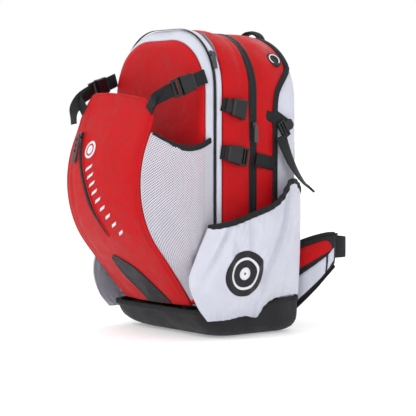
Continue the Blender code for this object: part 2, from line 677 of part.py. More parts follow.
def make_upper_straps(looks, front_half, side, sign):
    """The upper compression strap, undone: its socket hangs at the front and its plug and tail at the back."""
    front = pivot(f"pivot_upper_socket_{side}", (sign * 0.1425, -0.079, 0.408), front_half)
    place = Place((sign * 0.1480, -0.0620, 0.4040), (0, 0.978, -0.208), (0, 0, 1))
    socket(f"upper_socket_{side}", place, looks["plastic"], front, scale=1.05, tab=0.012)
    back = pivot(f"pivot_upper_plug_{side}", (sign * 0.1435, 0.0410, 0.385))
    place = Place((sign * 0.1480, 0.062, 0.3700), (0, -0.84, -0.54), (0, 0.54, -0.84))
    plug(f"upper_plug_{side}", place, looks["plastic"], back)
    line = ((0.1530, 0.0450, 0.3530), (0.1545, 0.0510, 0.3360), (0.1555, 0.0620, 0.3130),
            (0.1565, 0.0770, 0.2900), (0.1575, 0.0940, 0.2710), (0.1590, 0.1130, 0.2560))
    knots = [Vector((sign * x, y, z)) for x, y, z in line]
    # It turns a quarter on its way down, in steps small enough to stay flat
    path = [knots[k // 3].lerp(knots[min(k // 3 + 1, 5)], k % 3 / 3) for k in range(16)]
    across = [Vector((0, -0.8, -0.6)).lerp(Vector((sign * 0.79, -0.61, 0.0)), k / 15) for k in range(16)]
    ribbon(f"upper_tail_{side}", path, across, WEBBING, WEBBING_THICK, looks["webbing"], back)


def make_all():
    clear_scene()
    looks = {
        "red": material("red_nylon", (0.62, 0.008, 0.015), 0.55),
        "white": material("white_nylon", (0.80, 0.80, 0.86), 0.5),
        "white_mesh": material("white_mesh", (0.82, 0.82, 0.86), 0.7),
        "black_cloth": material("black_cloth", (0.03, 0.03, 0.035), 0.6),
        "webbing": material("black_webbing", (0.028, 0.03, 0.033), 0.7),
        "tape": material("zip_tape", (0.03, 0.032, 0.036), 0.65),
        "plastic": material("black_plastic", (0.02, 0.02, 0.022), 0.35),
        "rubber": material("black_rubber", (0.025, 0.025, 0.027), 0.5),
        "lining": material("grey_lining", (0.25, 0.25, 0.27), 0.8),
        "mesh_foam": material("black_mesh_foam", (0.04, 0.04, 0.045), 0.85),
        "sheet": material("stiffener_sheet", (0.55, 0.56, 0.58), 0.5),
        "alloy": material("alloy", (0.75, 0.76, 0.78), 0.3, 1.0),
        "puller": material("grey_puller", (0.35, 0.36, 0.38), 0.4),
    }
    make_rear(looks)
    arch_strip("main_zip_rear_tape", MAIN_ZIP, MAIN_ZIP_Y + 0.0052, 0.0080, 0.0014, 0.0012, 0.11,
               looks["tape"])
    make_handle(looks)
    hinge = (0.0, HINGE_Y, HINGE_Z)
    front_half = pivot("pivot_front_half", hinge)
    lid = pivot("pivot_lid", hinge, front_half)
    carrier = pivot("pivot_carrier", hinge, lid)
    make_front_half(looks, front_half)
    make_lid(looks, lid)
    make_carrier_panel(looks, carrier)
    make_carrier_zip(looks, carrier)
    make_zip_sliders(looks, front_half, carrier)
    for side, sign in SIDES:
        make_side(looks, side, sign)
        lower = pivot(f"pivot_lower_plug_{side}", lower_place(sign, 0.0340).origin)
        plug(f"lower_plug_{side}", lower_place(sign, 0.0340), looks["plastic"], lower)
        upper = pivot(f"pivot_carrier_plug_{side}", carrier_place(sign, 0.049).origin, lid)
        plug(f"carrier_plug_{side}", carrier_place(sign, 0.049), looks["plastic"], upper)
        make_shoulder(looks, side, sign)
        make_wing(looks, side, sign)
        make_upper_straps(looks, front_half, side, sign)


def make_zip_sliders(looks, front_half, carrier):
    """A slider and a pull on each of the three zips."""
    turn = pivot("pivot_carrier_slider", ZIP_CENTRE, carrier)
    down = Vector(zip_point(0.06, 0.0060)) - Vector(zip_point(0.0, 0.0060))
    across = Vector((math.cos(ZIP_TILT), 0, math.sin(ZIP_TILT)))
    place = Place(zip_point(0.03, 0.0060), down, across)
    make_slider("carrier_zip_slider", place, looks["alloy"], turn)
    eye = place.at(0.0, 0.0, 0.0048)
    end = panel_point(eye.x, eye.z - 0.050, 0.0055)
    swing = pivot("pivot_carrier_pull", eye, turn)
    make_puller("carrier_zip_pull", Place(eye, Vector(end) - eye, (1, 0, 0)), 0.052, 0.012,
                looks["puller"], swing, holes=3)

    top = FRONT_ZIP[3] - FRONT_ZIP[4]
    inner = FRONT_ZIP[1] - FRONT_ZIP[4]
    centre = Vector((inner, FRONT_ZIP_Y, top))
    corner = pivot("pivot_front_slider", centre, front_half)
    angle = math.radians(33)
    out = Vector((math.cos(angle), 0, math.sin(angle)))
    down = Vector((math.sin(angle), 0, -math.cos(angle)))
    spot = centre + out * (FRONT_ZIP[4] + 0.0052)
    make_slider("front_zip_slider", Place(spot, down, (0, 1, 0)), looks["alloy"], corner)
    eye = spot + out * 0.0054
    swing = pivot("pivot_front_pull", eye, corner)
    make_puller("front_zip_pull", Place(eye, down - out * 0.34, (0, 1, 0)), 0.030, 0.008, looks["puller"],
                swing)

    spot = (MAIN_ZIP[1] + 0.0062, MAIN_ZIP_Y, 0.372)
    run = pivot("pivot_main_slider", spot)
    make_slider("main_zip_slider", Place(spot, (0, 0, -1), (0, 1, 0)), looks["alloy"], run)
    eye = Vector(spot) + Vector((0.0046, 0, 0))
    swing = pivot("pivot_main_pull", eye, run)
    make_puller("main_zip_pull", Place(eye, (0, 0, -1), (0, 1, 0)), 0.030, 0.008, looks["puller"], swing)


make_all()
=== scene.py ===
"""Looks of the ski backpack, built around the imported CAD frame. Blender 4.5, in metres, +Z up.

The wearer's back is at +Y and the front carrier panel faces -Y. Shapes repeat the CAD's own dimensions.
"""

import math

import bpy
import bmesh
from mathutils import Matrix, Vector, noise
from mathutils.bvhtree import BVHTree


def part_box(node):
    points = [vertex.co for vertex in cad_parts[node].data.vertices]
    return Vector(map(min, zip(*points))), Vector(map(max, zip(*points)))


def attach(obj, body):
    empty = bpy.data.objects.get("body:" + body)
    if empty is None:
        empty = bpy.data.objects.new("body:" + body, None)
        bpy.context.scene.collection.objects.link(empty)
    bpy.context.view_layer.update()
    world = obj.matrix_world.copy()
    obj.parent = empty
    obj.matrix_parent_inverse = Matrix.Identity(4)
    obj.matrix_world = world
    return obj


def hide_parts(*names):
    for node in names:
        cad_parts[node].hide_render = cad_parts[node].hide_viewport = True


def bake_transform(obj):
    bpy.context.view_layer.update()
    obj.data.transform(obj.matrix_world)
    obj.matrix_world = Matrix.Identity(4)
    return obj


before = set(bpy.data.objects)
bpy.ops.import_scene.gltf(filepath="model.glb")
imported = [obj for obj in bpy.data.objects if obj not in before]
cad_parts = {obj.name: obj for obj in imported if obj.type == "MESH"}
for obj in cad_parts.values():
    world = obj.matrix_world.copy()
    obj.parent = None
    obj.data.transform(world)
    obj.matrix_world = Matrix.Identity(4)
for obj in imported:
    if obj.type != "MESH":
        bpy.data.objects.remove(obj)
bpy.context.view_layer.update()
SIDES = (("left", -1), ("right", 1))

# Sections of the body from front to back: y, half width, bottom, top, top corner radius
WALL = 0.003
LID_FACE = (-0.118, 0.118, 0.066, 0.508, 0.090)
LID_EDGE = (-0.109, 0.132, 0.059, 0.522, 0.098)
FRONT_ZIP = (-0.090, 0.137, 0.056, 0.541, 0.105)
BAND_REAR = (-0.077, 0.138, 0.056, 0.540, 0.105)
MAIN_ZIP = (-0.012, 0.141, 0.056, 0.535, 0.108)
BINDING = (0.040, 0.141, 0.006, 0.534, 0.112)
BACK_EDGE = (0.087, 0.138, 0.010, 0.530, 0.120)
BACK_FACE = (0.095, 0.130, 0.018, 0.523, 0.114)
BINDING_LINE = ((0.0, 0.040), (0.395, 0.040), (0.429, 0.043), (0.448, 0.054), (0.464, 0.068), (0.484, 0.0848),
                (0.54, 0.0850))
BOTTOM_RADIUS = 0.035
ZIP_START = 0.11  # height at which each long zip begins
BACK_Y = 0.095

WEBBING = 0.025
SIDE_WEBBING = 0.0245  # width of the straps on the bag's sides
CHEST_WEBBING, CHEST_Z = 0.0190, 0.420
BELT_Z = 0.149
THREAD = 0.0007  # diameter of sewing thread
STITCH_PITCH, THREAD_LIFT = 0.0034, 0.0002
STRIP_STEP = 0.004  # length of webbing between two rings of its mesh
LAY_LIFT = 0.004  # points start this far in front of the carrier panel, nearer to its outer face than its inner one
X_AXIS, Y_AXIS, Z_AXIS = Vector((1, 0, 0)), Vector((0, 1, 0)), Vector((0, 0, 1))

VIEW_TURN, VIEW_TILT = 52, 3  # the photograph's viewing angle, in degrees
VIEW_FAR, VIEW_HEIGHT, VIEW_WIDTH, SENSOR = 2.8, 0.2204, 0.764, 36.0


# ---------------------------------------------------------------- numbers and lines

def blend(a, b, t):
    return a + (b - a) * t


def ease(t):
    t = min(1.0, max(0.0, t))
    return t * t * (3 - 2 * t)


def bump(x, centre, width):
    """1 at centre, falling smoothly to 0 at width away."""
    return ease(1 - abs(x - centre) / width)


def curve(points, x):
    """A smooth curve through (x, value) points."""
    if x <= points[0][0]:
        return points[0][1]
    last = len(points) - 1
    for k in range(last):
        (x0, a), (x1, b) = points[k], points[k + 1]
        if x <= x1:
            before, after = points[max(k - 1, 0)], points[min(k + 2, last)]
            m0 = (b - before[1]) / (x1 - before[0]) * (x1 - x0)
            m1 = (after[1] - a) / (after[0] - x0) * (x1 - x0)
            t = (x - x0) / (x1 - x0)
            return ((2 * t**3 - 3 * t**2 + 1) * a + (t**3 - 2 * t**2 + t) * m0
                    + (3 * t**2 - 2 * t**3) * b + (t**3 - t**2) * m1)
    return points[-1][1]


def distances(points, closed=False):
    """How far along the line each point is, and for a closed one how long it is."""
    points = [Vector(p) for p in points]
    if closed:
        points.append(points[0])
    out = [0.0]
    for a, b in zip(points, points[1:]):
        out.append(out[-1] + (b - a).length)
    return out


def resample(line, count):
    """The line as count points at even steps."""
    far = distances(line)
    out, k = [], 0
    for step in range(count):
        want = far[-1] * step / (count - 1)
        while k < len(line) - 2 and far[k + 1] < want:
            k += 1
        share = (want - far[k]) / max(far[k + 1] - far[k], 1e-9)
        out.append(Vector(line[k]).lerp(Vector(line[k + 1]), min(1.0, share)))
    return out


def spline(points, count):
    """A smooth line through the points, as count points at even steps."""
    points = [Vector(p) for p in points]
    dense = []
    last = len(points) - 1
    for k in range(last):
        a, b, c, d = points[max(k - 1, 0)], points[k], points[k + 1], points[min(k + 2, last)]
        for step in range(12):
            t = step / 12
            dense.append(0.5 * (2 * b + (c - a) * t + (2 * a - 5 * b + 4 * c - d) * t**2
                                + (3 * b - a - 3 * c + d) * t**3))
    dense.append(points[-1])
    return resample(dense, count)


def rough(point, scale, stretch=(1.0, 1.0, 1.0), seed=0.0):
    """Smooth noise from -1 to 1. stretch makes its folds run along an axis."""
    p = Vector((point[0] * stretch[0], point[1] * stretch[1], point[2] * stretch[2])) * scale
    return noise.noise(p + Vector((seed, seed * 1.7, seed * 0.6)))


# ---------------------------------------------------------------- meshes

CAPS = {True: slice(0, 2), "first": slice(0, 1), "last": slice(1, 2)}  # which ends of a loft are closed


class Shape:
    """Gathers forms into one mesh, with a map of cloth coordinates in metres."""

    def __init__(self):
        self.points = []
        self.faces = []
        self.cloth = []
        self.kinds = []

    def add(self, rings, along=None, around=None, closed=True, caps=True, wrap=False, kind=0):
        """Joins rings of equal length. closed rings are loops, and wrap joins the last ring to the first."""
        first, count = len(self.points), len(rings[0])
        along = along or distances([ring[0] for ring in rings], wrap)
        around = around or distances(rings[len(rings) // 2], closed)
        self.points += [Vector(p) for ring in rings for p in ring]
        for k in range(len(rings) if wrap else len(rings) - 1):
            a, b = first + k * count, first + (k + 1) % len(rings) * count
            for i in range(count if closed else count - 1):
                j = (i + 1) % count
                self.faces.append((a + i, a + j, b + j, b + i))
                u0, u1, v0, v1 = around[i], around[i + 1], along[k], along[k + 1]
                self.cloth.append(((u0, v0), (u1, v0), (u1, v1), (u0, v1)))
                self.kinds.append(kind(k, i) if callable(kind) else kind)
        if closed and caps and not wrap:
            for k, turn in ((0, -1), (len(rings) - 1, 1))[CAPS[caps]]:
                a = first + k * count
                self.faces.append(tuple(range(a, a + count))[::turn])
                self.cloth.append(tuple((around[i], along[k]) for i in range(count))[::turn])
                self.kinds.append(kind(min(k, len(rings) - 2), 0) if callable(kind) else kind)
        return self

    def build(self, name, looks, centre=None):
        """Makes the object. Closed forms face out by themselves; a sheet faces away from centre."""
        mesh = bpy.data.meshes.new(name)
        mesh.from_pydata(self.points, [], self.faces)
        layer = mesh.uv_layers.new(name="cloth")
        flat = [c for face in self.cloth for corner in face for c in corner]
        layer.data.foreach_set("uv", flat)
        mesh.polygons.foreach_set("material_index", self.kinds)
        bm = bmesh.new()
        bm.from_mesh(mesh)
        bmesh.ops.remove_doubles(bm, verts=bm.verts, dist=1e-6)
        bmesh.ops.recalc_face_normals(bm, faces=bm.faces)
        if centre is not None:
            middle = Vector(centre)
            out = sum(f.normal.dot(f.calc_center_median() - middle) * f.calc_area() for f in bm.faces)
            if out < 0:
                bmesh.ops.reverse_faces(bm, faces=bm.faces)
        bm.to_mesh(mesh)
        bm.free()
        for look in looks if isinstance(looks, (list, tuple)) else [looks]:
            mesh.materials.append(look)
        mesh.shade_smooth()
        obj = bpy.data.objects.new(name, mesh)
        bpy.context.collection.objects.link(obj)
        return obj


def modifier(obj, kind, **values):
    made = obj.modifiers.new(kind.title(), kind)
    for key, value in values.items():
        setattr(made, key, value)
    return made


def thicken(obj, thick, smooth=1, inside=0, offset=-1.0):
    """Gives a sheet its thickness. inside is the step to the material of its inner face."""
    modifier(obj, "SOLIDIFY", thickness=thick, offset=offset, material_offset=inside)
    if smooth:
        modifier(obj, "SUBSURF", levels=smooth, render_levels=smooth)
    return obj


def rounded(obj):
    modifier(obj, "SUBSURF", levels=1, render_levels=1)
    return obj


def sculpt(obj, relief):
    """Moves each point along its normal by relief(point, normal)."""
    mesh = obj.data
    moved = [v.co + v.normal * relief(v.co, v.normal) for v in mesh.vertices]
    for v, co in zip(mesh.vertices, moved):
        v.co = co
    mesh.update()


def surface(obj):
    """A search tree of the object's faces as they end up."""
    return BVHTree.FromObject(obj, bpy.context.evaluated_depsgraph_get())


def lay(tree, points, lift):
    """The points moved onto the surface, lift above it, and the surface's normals there."""
    on, normals = [], []
    for p in points:
        near, normal, _, _ = tree.find_nearest(Vector(p))
        on.append(near + normal * lift)
        normals.append(normal)
    return on, normals


def put(obj, body, slot, *nodes):
    """Makes the piece ride on its body, in place of CAD nodes. slot is not used."""
    if nodes:
        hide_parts(*nodes)
    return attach(obj, body) if body else obj


PROFILE = ((-0.5, 0.0), (-0.47, 0.42), (-0.2, 0.5), (0.2, 0.5), (0.47, 0.42),
           (0.5, 0.0), (0.47, -0.42), (0.2, -0.5), (-0.2, -0.5), (-0.47, -0.42))


def turns(count):
    """Angles at even steps once round, from 0."""
    return [math.tau * k / count for k in range(count)]


def oval(centre, a, b, half_a, half_b, count):
    """A ring of count points round centre, half_a wide along a and half_b along b."""
    return [centre + a * (half_a * math.cos(t)) + b * (half_b * math.sin(t)) for t in turns(count)]


def headings(path, wrap=False):
    """Each point of the path with the direction in which the path runs there."""
    last = len(path) - 1
    for k, p in enumerate(path):
        if wrap:
            yield p, (path[(k + 1) % (last + 1)] - path[k - 1]).normalized()
        else:
            yield p, (path[min(k + 1, last)] - path[max(k - 1, 0)]).normalized()


def square(side, ahead):
    """The direction side, turned until it is square to ahead."""
    return (side - side.dot(ahead) * ahead).normalized()


def tube(path, sides, half_a, half_b, count, wrap=False):
    """Rings of an oval tube. sides(ahead) gives the directions of its two half widths."""
    return [oval(p, *sides(ahead), half_a, half_b, count) for p, ahead in headings(path, wrap)]


def flip(points, sign):
    """The points as they are for sign 1, or on the other side of the bag for -1."""
    return [Vector((sign * x, y, z)) for x, y, z in points]


def strip_rings(path, across, width, thick):
    """Rings of a flat strip with soft edges. across is one direction, or one for each end or point."""
    sides = [Vector(a) for a in across] if isinstance(across, list) else [Vector(across)]
    rings = []
    last = len(path) - 1
    for k, (point, ahead) in enumerate(headings(path)):
        place = k / last * (len(sides) - 1)
        low = min(int(place), len(sides) - 1)
        side = sides[low].lerp(sides[min(low + 1, len(sides) - 1)], place - low)
        side = square(side, ahead)
        up = ahead.cross(side)
        wide = width(k / last) if callable(width) else width
        rings.append([point + side * wide * a + up * thick * b for a, b in PROFILE])
    return rings


def strip(shape, points, across, width, thick, smooth=True):
    """Adds a strip of webbing or tape along a smooth line through the points."""
    count = max(3, int(distances(points)[-1] / STRIP_STEP) + 1)
    path = spline(points, count) if smooth else [Vector(p) for p in points]
    wide = width(0.5) if callable(width) else width
    around = [wide * a for a, _ in PROFILE] + [wide * PROFILE[0][0]]
    shape.add(strip_rings(path, across, width, thick), distances(path), around)


def webbing(name, body, points, across, width, thick, node=None, smooth=True):
    """A strip of flat webbing as a piece of its own."""
    shape = Shape()
    strip(shape, points, across, width, thick, smooth=smooth)
    return put(shape.build(name, LOOKS["webbing"]), body, "black_webbing", *([node] if node else []))


def stitches(name, lines, tree, body, slot="black_webbing", look=None):
    """Rows of thread stitches laid on a surface along lines of points."""
    shape = Shape()
    for line in lines:
        far = distances(line)[-1]
        count = max(3, int(far / STITCH_PITCH) + 1)
        on, normals = lay(tree, resample(line, count), THREAD_LIFT)
        for k in range(count - 1):
            a, b, up = on[k], on[k + 1], normals[k]
            run = (b - a) * 0.42
            side = run.cross(up).normalized() * THREAD * 0.5
            middle = (a + b) / 2
            lump = up * THREAD * 0.6
            rings = [[middle + run * place + round_by * size for round_by in (side, lump, -side, -lump)]
                     for place, size in ((-1.0, 0.35), (-0.5, 1.0), (0.5, 1.0), (1.0, 0.35))]
            shape.add(rings)
    obj = shape.build(name, look or LOOKS["thread"])
    return put(obj, body, slot)


# ---------------------------------------------------------------- materials

class Graph:
    """Builds one procedural material."""

    def __init__(self, name, colour, roughness, **sockets):
        self.material = bpy.data.materials.new(name)
        self.material.use_nodes = True
        self.material.diffuse_color = (*colour, 1.0)
        self.tree = self.material.node_tree
        self.shader = self.tree.nodes["Principled BSDF"]
        self.colour = colour
        self.shader.inputs["Base Color"].default_value = (*colour, 1.0)
        self.shader.inputs["Roughness"].default_value = roughness
        for key, value in sockets.items():
            self.shader.inputs[key.replace("_", " ")].default_value = value
        cloth = self.node("UVMap", uv_map="cloth")
        split = self.node("SeparateXYZ", {"Vector": cloth.outputs[0]})
        self.u, self.v = split.outputs[0], split.outputs[1]
        self.place = self.node("TexCoord").outputs["Object"]

    def node(self, kind, inputs=None, **settings):
        made = self.tree.nodes.new("ShaderNode" + kind)
        for key, value in settings.items():
            setattr(made, key, value)
        for key, value in (inputs or {}).items():
            self.join(made.inputs[key], value)
        return made

    def join(self, socket, value):
        if isinstance(value, bpy.types.NodeSocket):
            self.tree.links.new(value, socket)
        else:
            socket.default_value = value

    def sum(self, kind, *values):
        return self.node("Math", dict(enumerate(values)), operation=kind).outputs[0]

    def noise(self, scale, detail=3.0, decay=0.55):
        made = self.node("TexNoise", {"Vector": self.place, "Scale": scale, "Detail": detail, "Roughness": decay})
        return made.outputs[0]

    def wave(self, value, pitch):
        """A sine along a cloth coordinate, from -1 to 1."""
        return self.sum("SINE", self.sum("MULTIPLY", value, 2 * math.pi / pitch))

    def spread(self, value, low, high, to_low, to_high):
        made = self.node("MapRange", {"Value": value, "From Min": low, "From Max": high, "To Min": to_low,
                                      "To Max": to_high})
        return made.outputs[0]

    def mix(self, share, a, b):
        made = self.node("Mix", data_type="RGBA")
        self.join(made.inputs[0], share)
        self.join(made.inputs[6], a)
        self.join(made.inputs[7], b)
        return made.outputs[2]

    def shades(self, dark, light, *values):
        """Colours the surface between darker and lighter shades of its colour by the mean of the values."""
        total = values[0]
        for value in values[1:]:
            total = self.sum("ADD", total, value)
        share = self.sum("DIVIDE", total, float(len(values)))
        low = (*[c * dark for c in self.colour], 1.0)
        high = (*[min(1.0, c * light) for c in self.colour], 1.0)
        self.tint = self.mix(share, low, high)
        self.join(self.shader.inputs["Base Color"], self.tint)
        return self

    def relief(self, *layers):
        """Bump from (height from 0 to 1, depth in metres) layers."""
        total = None
        for height, depth in layers:
            part = self.sum("MULTIPLY", height, depth)
            total = part if total is None else self.sum("ADD", total, part)
        made = self.node("Bump", {"Height": total, "Distance": 1.0, "Strength": 1.0})
        self.join(self.shader.inputs["Normal"], made.outputs[0])
        return self

    def gloss(self, value, low, high):
        self.join(self.shader.inputs["Roughness"], self.spread(value, 0.3, 0.7, low, high))
        return self


def woven(name, colour, roughness, pitch=0.0011, ripstop=0.0, dark=0.86, light=1.12, relief=0.00022,
          **sockets):
    """Woven nylon: crossing threads, mottling, soft creases and, if asked, a ripstop grid."""
    g = Graph(name, colour, roughness, **sockets)
    threads = g.sum("MULTIPLY", g.wave(g.u, pitch), g.wave(g.v, pitch))
    weave = g.spread(threads, -1.0, 1.0, 0.0, 1.0)
    clouds = g.noise(45.0, 2.0)
    # Painted highlight: the colour is lighter where the weave's threads rise and darker between them, and mottled
    # at random by clouds.
    g.shades(dark, light, g.spread(clouds, 0.3, 0.7, 0.0, 1.0), weave)
    g.gloss(clouds, roughness - 0.08, roughness + 0.10)
    broad = g.noise(13.0, 4.0, 0.6)
    layers = [(broad, 0.0055), (clouds, 0.0012), (weave, relief)]
    if ripstop:
        lines = g.sum("MAXIMUM", g.wave(g.u, ripstop), g.wave(g.v, ripstop))
        layers.append((g.spread(lines, 0.90, 1.0, 0.0, 1.0), 0.00016))
    g.relief(*layers)
    return g.material


def webbing_look(name, colour, roughness, pitch=0.0022, **sockets):
    """Flat webbing: a herringbone of ribs, with a painted highlight that colours the raised threads lighter."""
    g = Graph(name, colour, roughness, **sockets)
    fold = g.sum("PINGPONG", g.u, 0.0042)
    ribs = g.wave(g.sum("ADD", g.v, g.sum("MULTIPLY", fold, 0.8)), pitch)
    cords = g.wave(g.u, 0.0014)
    height = g.sum("ADD", g.spread(ribs, -1.0, 1.0, 0.0, 0.75), g.spread(cords, -1.0, 1.0, 0.0, 0.25))
    clouds = g.noise(60.0, 3.0)
    # Painted highlight and shade: the colour is lighter on the raised ribs and cords and darker between them, and
    # mottled by clouds.
    g.shades(0.62, 1.65, height, clouds)
    g.gloss(clouds, roughness - 0.08, roughness + 0.1)
    g.relief((height, 0.00030), (clouds, 0.0003))
    return g.material


def open_mesh(name, colour, roughness, pitch, hole, see_through, **sockets):
    """Knitted mesh with staggered holes. They go right through if see_through is true."""
    g = Graph(name, colour, roughness, **sockets)
    a = g.wave(g.sum("ADD", g.u, g.v), pitch)
    b = g.wave(g.sum("SUBTRACT", g.u, g.v), pitch)
    cell = g.spread(g.sum("ADD", a, b), -2.0, 2.0, 0.0, 1.0)
    clouds = g.noise(40.0, 3.0)
    # Painted shade: the colour darkens from the raised threads into the recessed holes, and is mottled by clouds.
    g.shades(0.80, 1.10, g.spread(cell, 0.3, 0.8, 1.0, 0.2), clouds)
    g.relief((g.spread(cell, 0.35, 0.9, 1.0, 0.0), 0.0007))
    if see_through:
        g.join(g.shader.inputs["Alpha"], g.sum("LESS_THAN", cell, 1.0 - hole))
    return g.material


def moulded(name, colour, roughness, grain=900.0, depth=0.00008, light=1.5, **sockets):
    """Moulded plastic or rubber: a fine spark-eroded grain, with rubbed, shinier patches."""
    g = Graph(name, colour, roughness, **sockets)
    clouds, fine = g.noise(60.0, 2.0), g.noise(grain, 0.0)
    g.shades(0.8, light, clouds, fine)
    g.gloss(clouds, roughness - 0.08, roughness + 0.12)
    g.relief((fine, depth), (clouds, 0.0003))
    return g.material


def make_looks():
    return {
        "red": woven("red_nylon_look", (0.47, 0.0012, 0.0040), 0.50, dark=0.82, light=1.16,
                     Specular_IOR_Level=0.16),
        "white": woven("white_nylon_look", (0.58, 0.59, 0.68), 0.36, pitch=0.0009, ripstop=0.0055, dark=0.93,
                       light=1.06,
                       Sheen_Weight=0.15, Specular_IOR_Level=0.5, Coat_Weight=0.12, Coat_Roughness=0.35),
        "black": woven("black_cloth_look", (0.0095, 0.0090, 0.0120), 0.46, pitch=0.0014, dark=0.7, light=1.5,
                       relief=0.0003,
                       Specular_IOR_Level=0.22),
        "webbing": webbing_look("black_webbing_look", (0.0085, 0.0090, 0.0105), 0.58, Specular_IOR_Level=0.20),
        "binding": webbing_look("binding_look", (0.0095, 0.0098, 0.0115), 0.60, pitch=0.0016,
                                Specular_IOR_Level=0.20),
        "tape": webbing_look("zip_tape_look", (0.0085, 0.0088, 0.0105), 0.56, pitch=0.0013,
                             Specular_IOR_Level=0.20),
        "lining": woven("grey_lining_look", (0.23, 0.23, 0.25), 0.62, ripstop=0.006, dark=0.85, light=1.15),
        "white_mesh": open_mesh("white_mesh_look", (0.66, 0.66, 0.74), 0.55, 0.0046, 0.40, True, Sheen_Weight=0.1),
        "foam": open_mesh("black_mesh_foam_look", (0.0150, 0.0150, 0.0180), 0.75, 0.0052, 0.0, False,
                          Sheen_Weight=0.08, Specular_IOR_Level=0.2),
        "plastic": moulded("black_plastic_look", (0.0065, 0.0065, 0.0080), 0.30, Specular_IOR_Level=0.35),
        "coil": moulded("zip_coil_look", (0.0060, 0.0060, 0.0075), 0.26, grain=1500.0),
        "rubber": moulded("black_rubber_look", (0.0085, 0.0085, 0.0100), 0.46, depth=0.00012,
                          Specular_IOR_Level=0.3),
        "reflective": moulded("reflective_print_look", (0.72, 0.73, 0.76), 0.24, light=1.15),
        "print": moulded("white_print_look", (0.72, 0.72, 0.76), 0.42, light=1.05),
        "dark_print": moulded("black_print_look", (0.0085, 0.0085, 0.0115), 0.40, Specular_IOR_Level=0.25),
        "puller": moulded("grey_puller_look", (0.035, 0.036, 0.040), 0.34),
        "sheet": moulded("stiffener_look", (0.55, 0.56, 0.58), 0.45, light=1.1),
        "alloy": moulded("alloy_look", (0.55, 0.56, 0.58), 0.30, light=1.2, Metallic=1.0),
        "slider": moulded("slider_look", (0.045, 0.046, 0.05), 0.32, light=1.8, Metallic=0.7),
        "thread": moulded("thread_look", (0.018, 0.018, 0.021), 0.55, grain=2500.0),
        "red_thread": moulded("red_thread_look", (0.34, 0.002, 0.005), 0.55, grain=2500.0),
        "white_thread": moulded("white_thread_look", (0.52, 0.52, 0.58), 0.5, grain=2500.0),
    }


LOOKS = make_looks()


# ---------------------------------------------------------------- the shape of the bag

# Straight steps along each stretch of the loop round the pack: bottom, low corner, side, high corner, top
STEPS = (16, 6, 40, 20, 8)


def section_between(a, b, y):
    share = (y - a[0]) / (b[0] - a[0])
    return tuple(blend(u, v, share) for u, v in zip(a, b))


def loop(section, inset=0.0, bottom=None):
    """A fine loop round the pack in a plane across Y, from the middle of the bottom towards +X."""
    y, half, low_z, top, top_radius = section
    low_z = low_z if bottom is None else bottom
    half, low_z, top = half - inset, low_z + inset, top - inset
    low, high = BOTTOM_RADIUS - inset, top_radius - inset
    flat, foot, side, arch, crown = STEPS
    right = []
    for k in range(flat // 2):
        right.append((blend(0.0, half - low, k / (flat // 2)), low_z))
    for k in range(foot):
        t = math.radians(-90 + 90 * k / foot)
        right.append((half - low + low * math.cos(t), low_z + low + low * math.sin(t)))
    for k in range(side):
        right.append((half, blend(low_z + low, top - high, k / side)))
    for k in range(arch):
        t = math.radians(90 * k / arch)
        right.append((half - high + high * math.cos(t), top - high + high * math.sin(t)))
    for k in range(crown // 2 + 1):
        right.append((blend(half - high, 0.0, k / (crown // 2)), top))
    left = [(-x, z) for x, z in reversed(right[1:-1])]
    return [Vector((x, y, z)) for x, z in right + left]


def binding_loop(inset=0.0, shift=0.0):
    """The loop along the binding, where y depends on the height."""
    out = []
    for index, point in enumerate(loop(BINDING, inset)):
        y = curve(BINDING_LINE, point.z) + shift
        out.append(loop(section_between(BINDING, BACK_EDGE, y), inset)[index])
    return out


def arch_line(section, lift):
    """The line over the pack's arch from height ZIP_START on the right to the same on the left."""
    points = loop(section, -lift)
    line = [p for p in points if p.z > ZIP_START + 0.004]
    first = Vector((line[0].x, line[0].y, ZIP_START))
    last = Vector((line[-1].x, line[-1].y, ZIP_START))
    return [first, *line, last]


def rows_between(first, last, count):
    return [[a.lerp(b, k / (count - 1)) for a, b in zip(first, last)] for k in range(count)]


def bag_wall(name, rows, looks, body, slot, node, relief):
    """A cloth wall round the pack, with its soft folds, in place of its CAD solid."""
    shape = Shape()
    shape.add(rows, wrap=False, caps=False)
    obj = shape.build(name, looks, centre=(0, rows[len(rows) // 2][0].y, 0.28))
    sculpt(obj, relief)
    thicken(obj, WALL, inside=1)
    put(obj, body, slot, node)


def between(y, front, back):
    """0 at both edges of a wall and 1 in its middle."""
    share = min(1.0, max(0.0, (y - front) / (back - front)))
    return math.sin(math.pi * share)


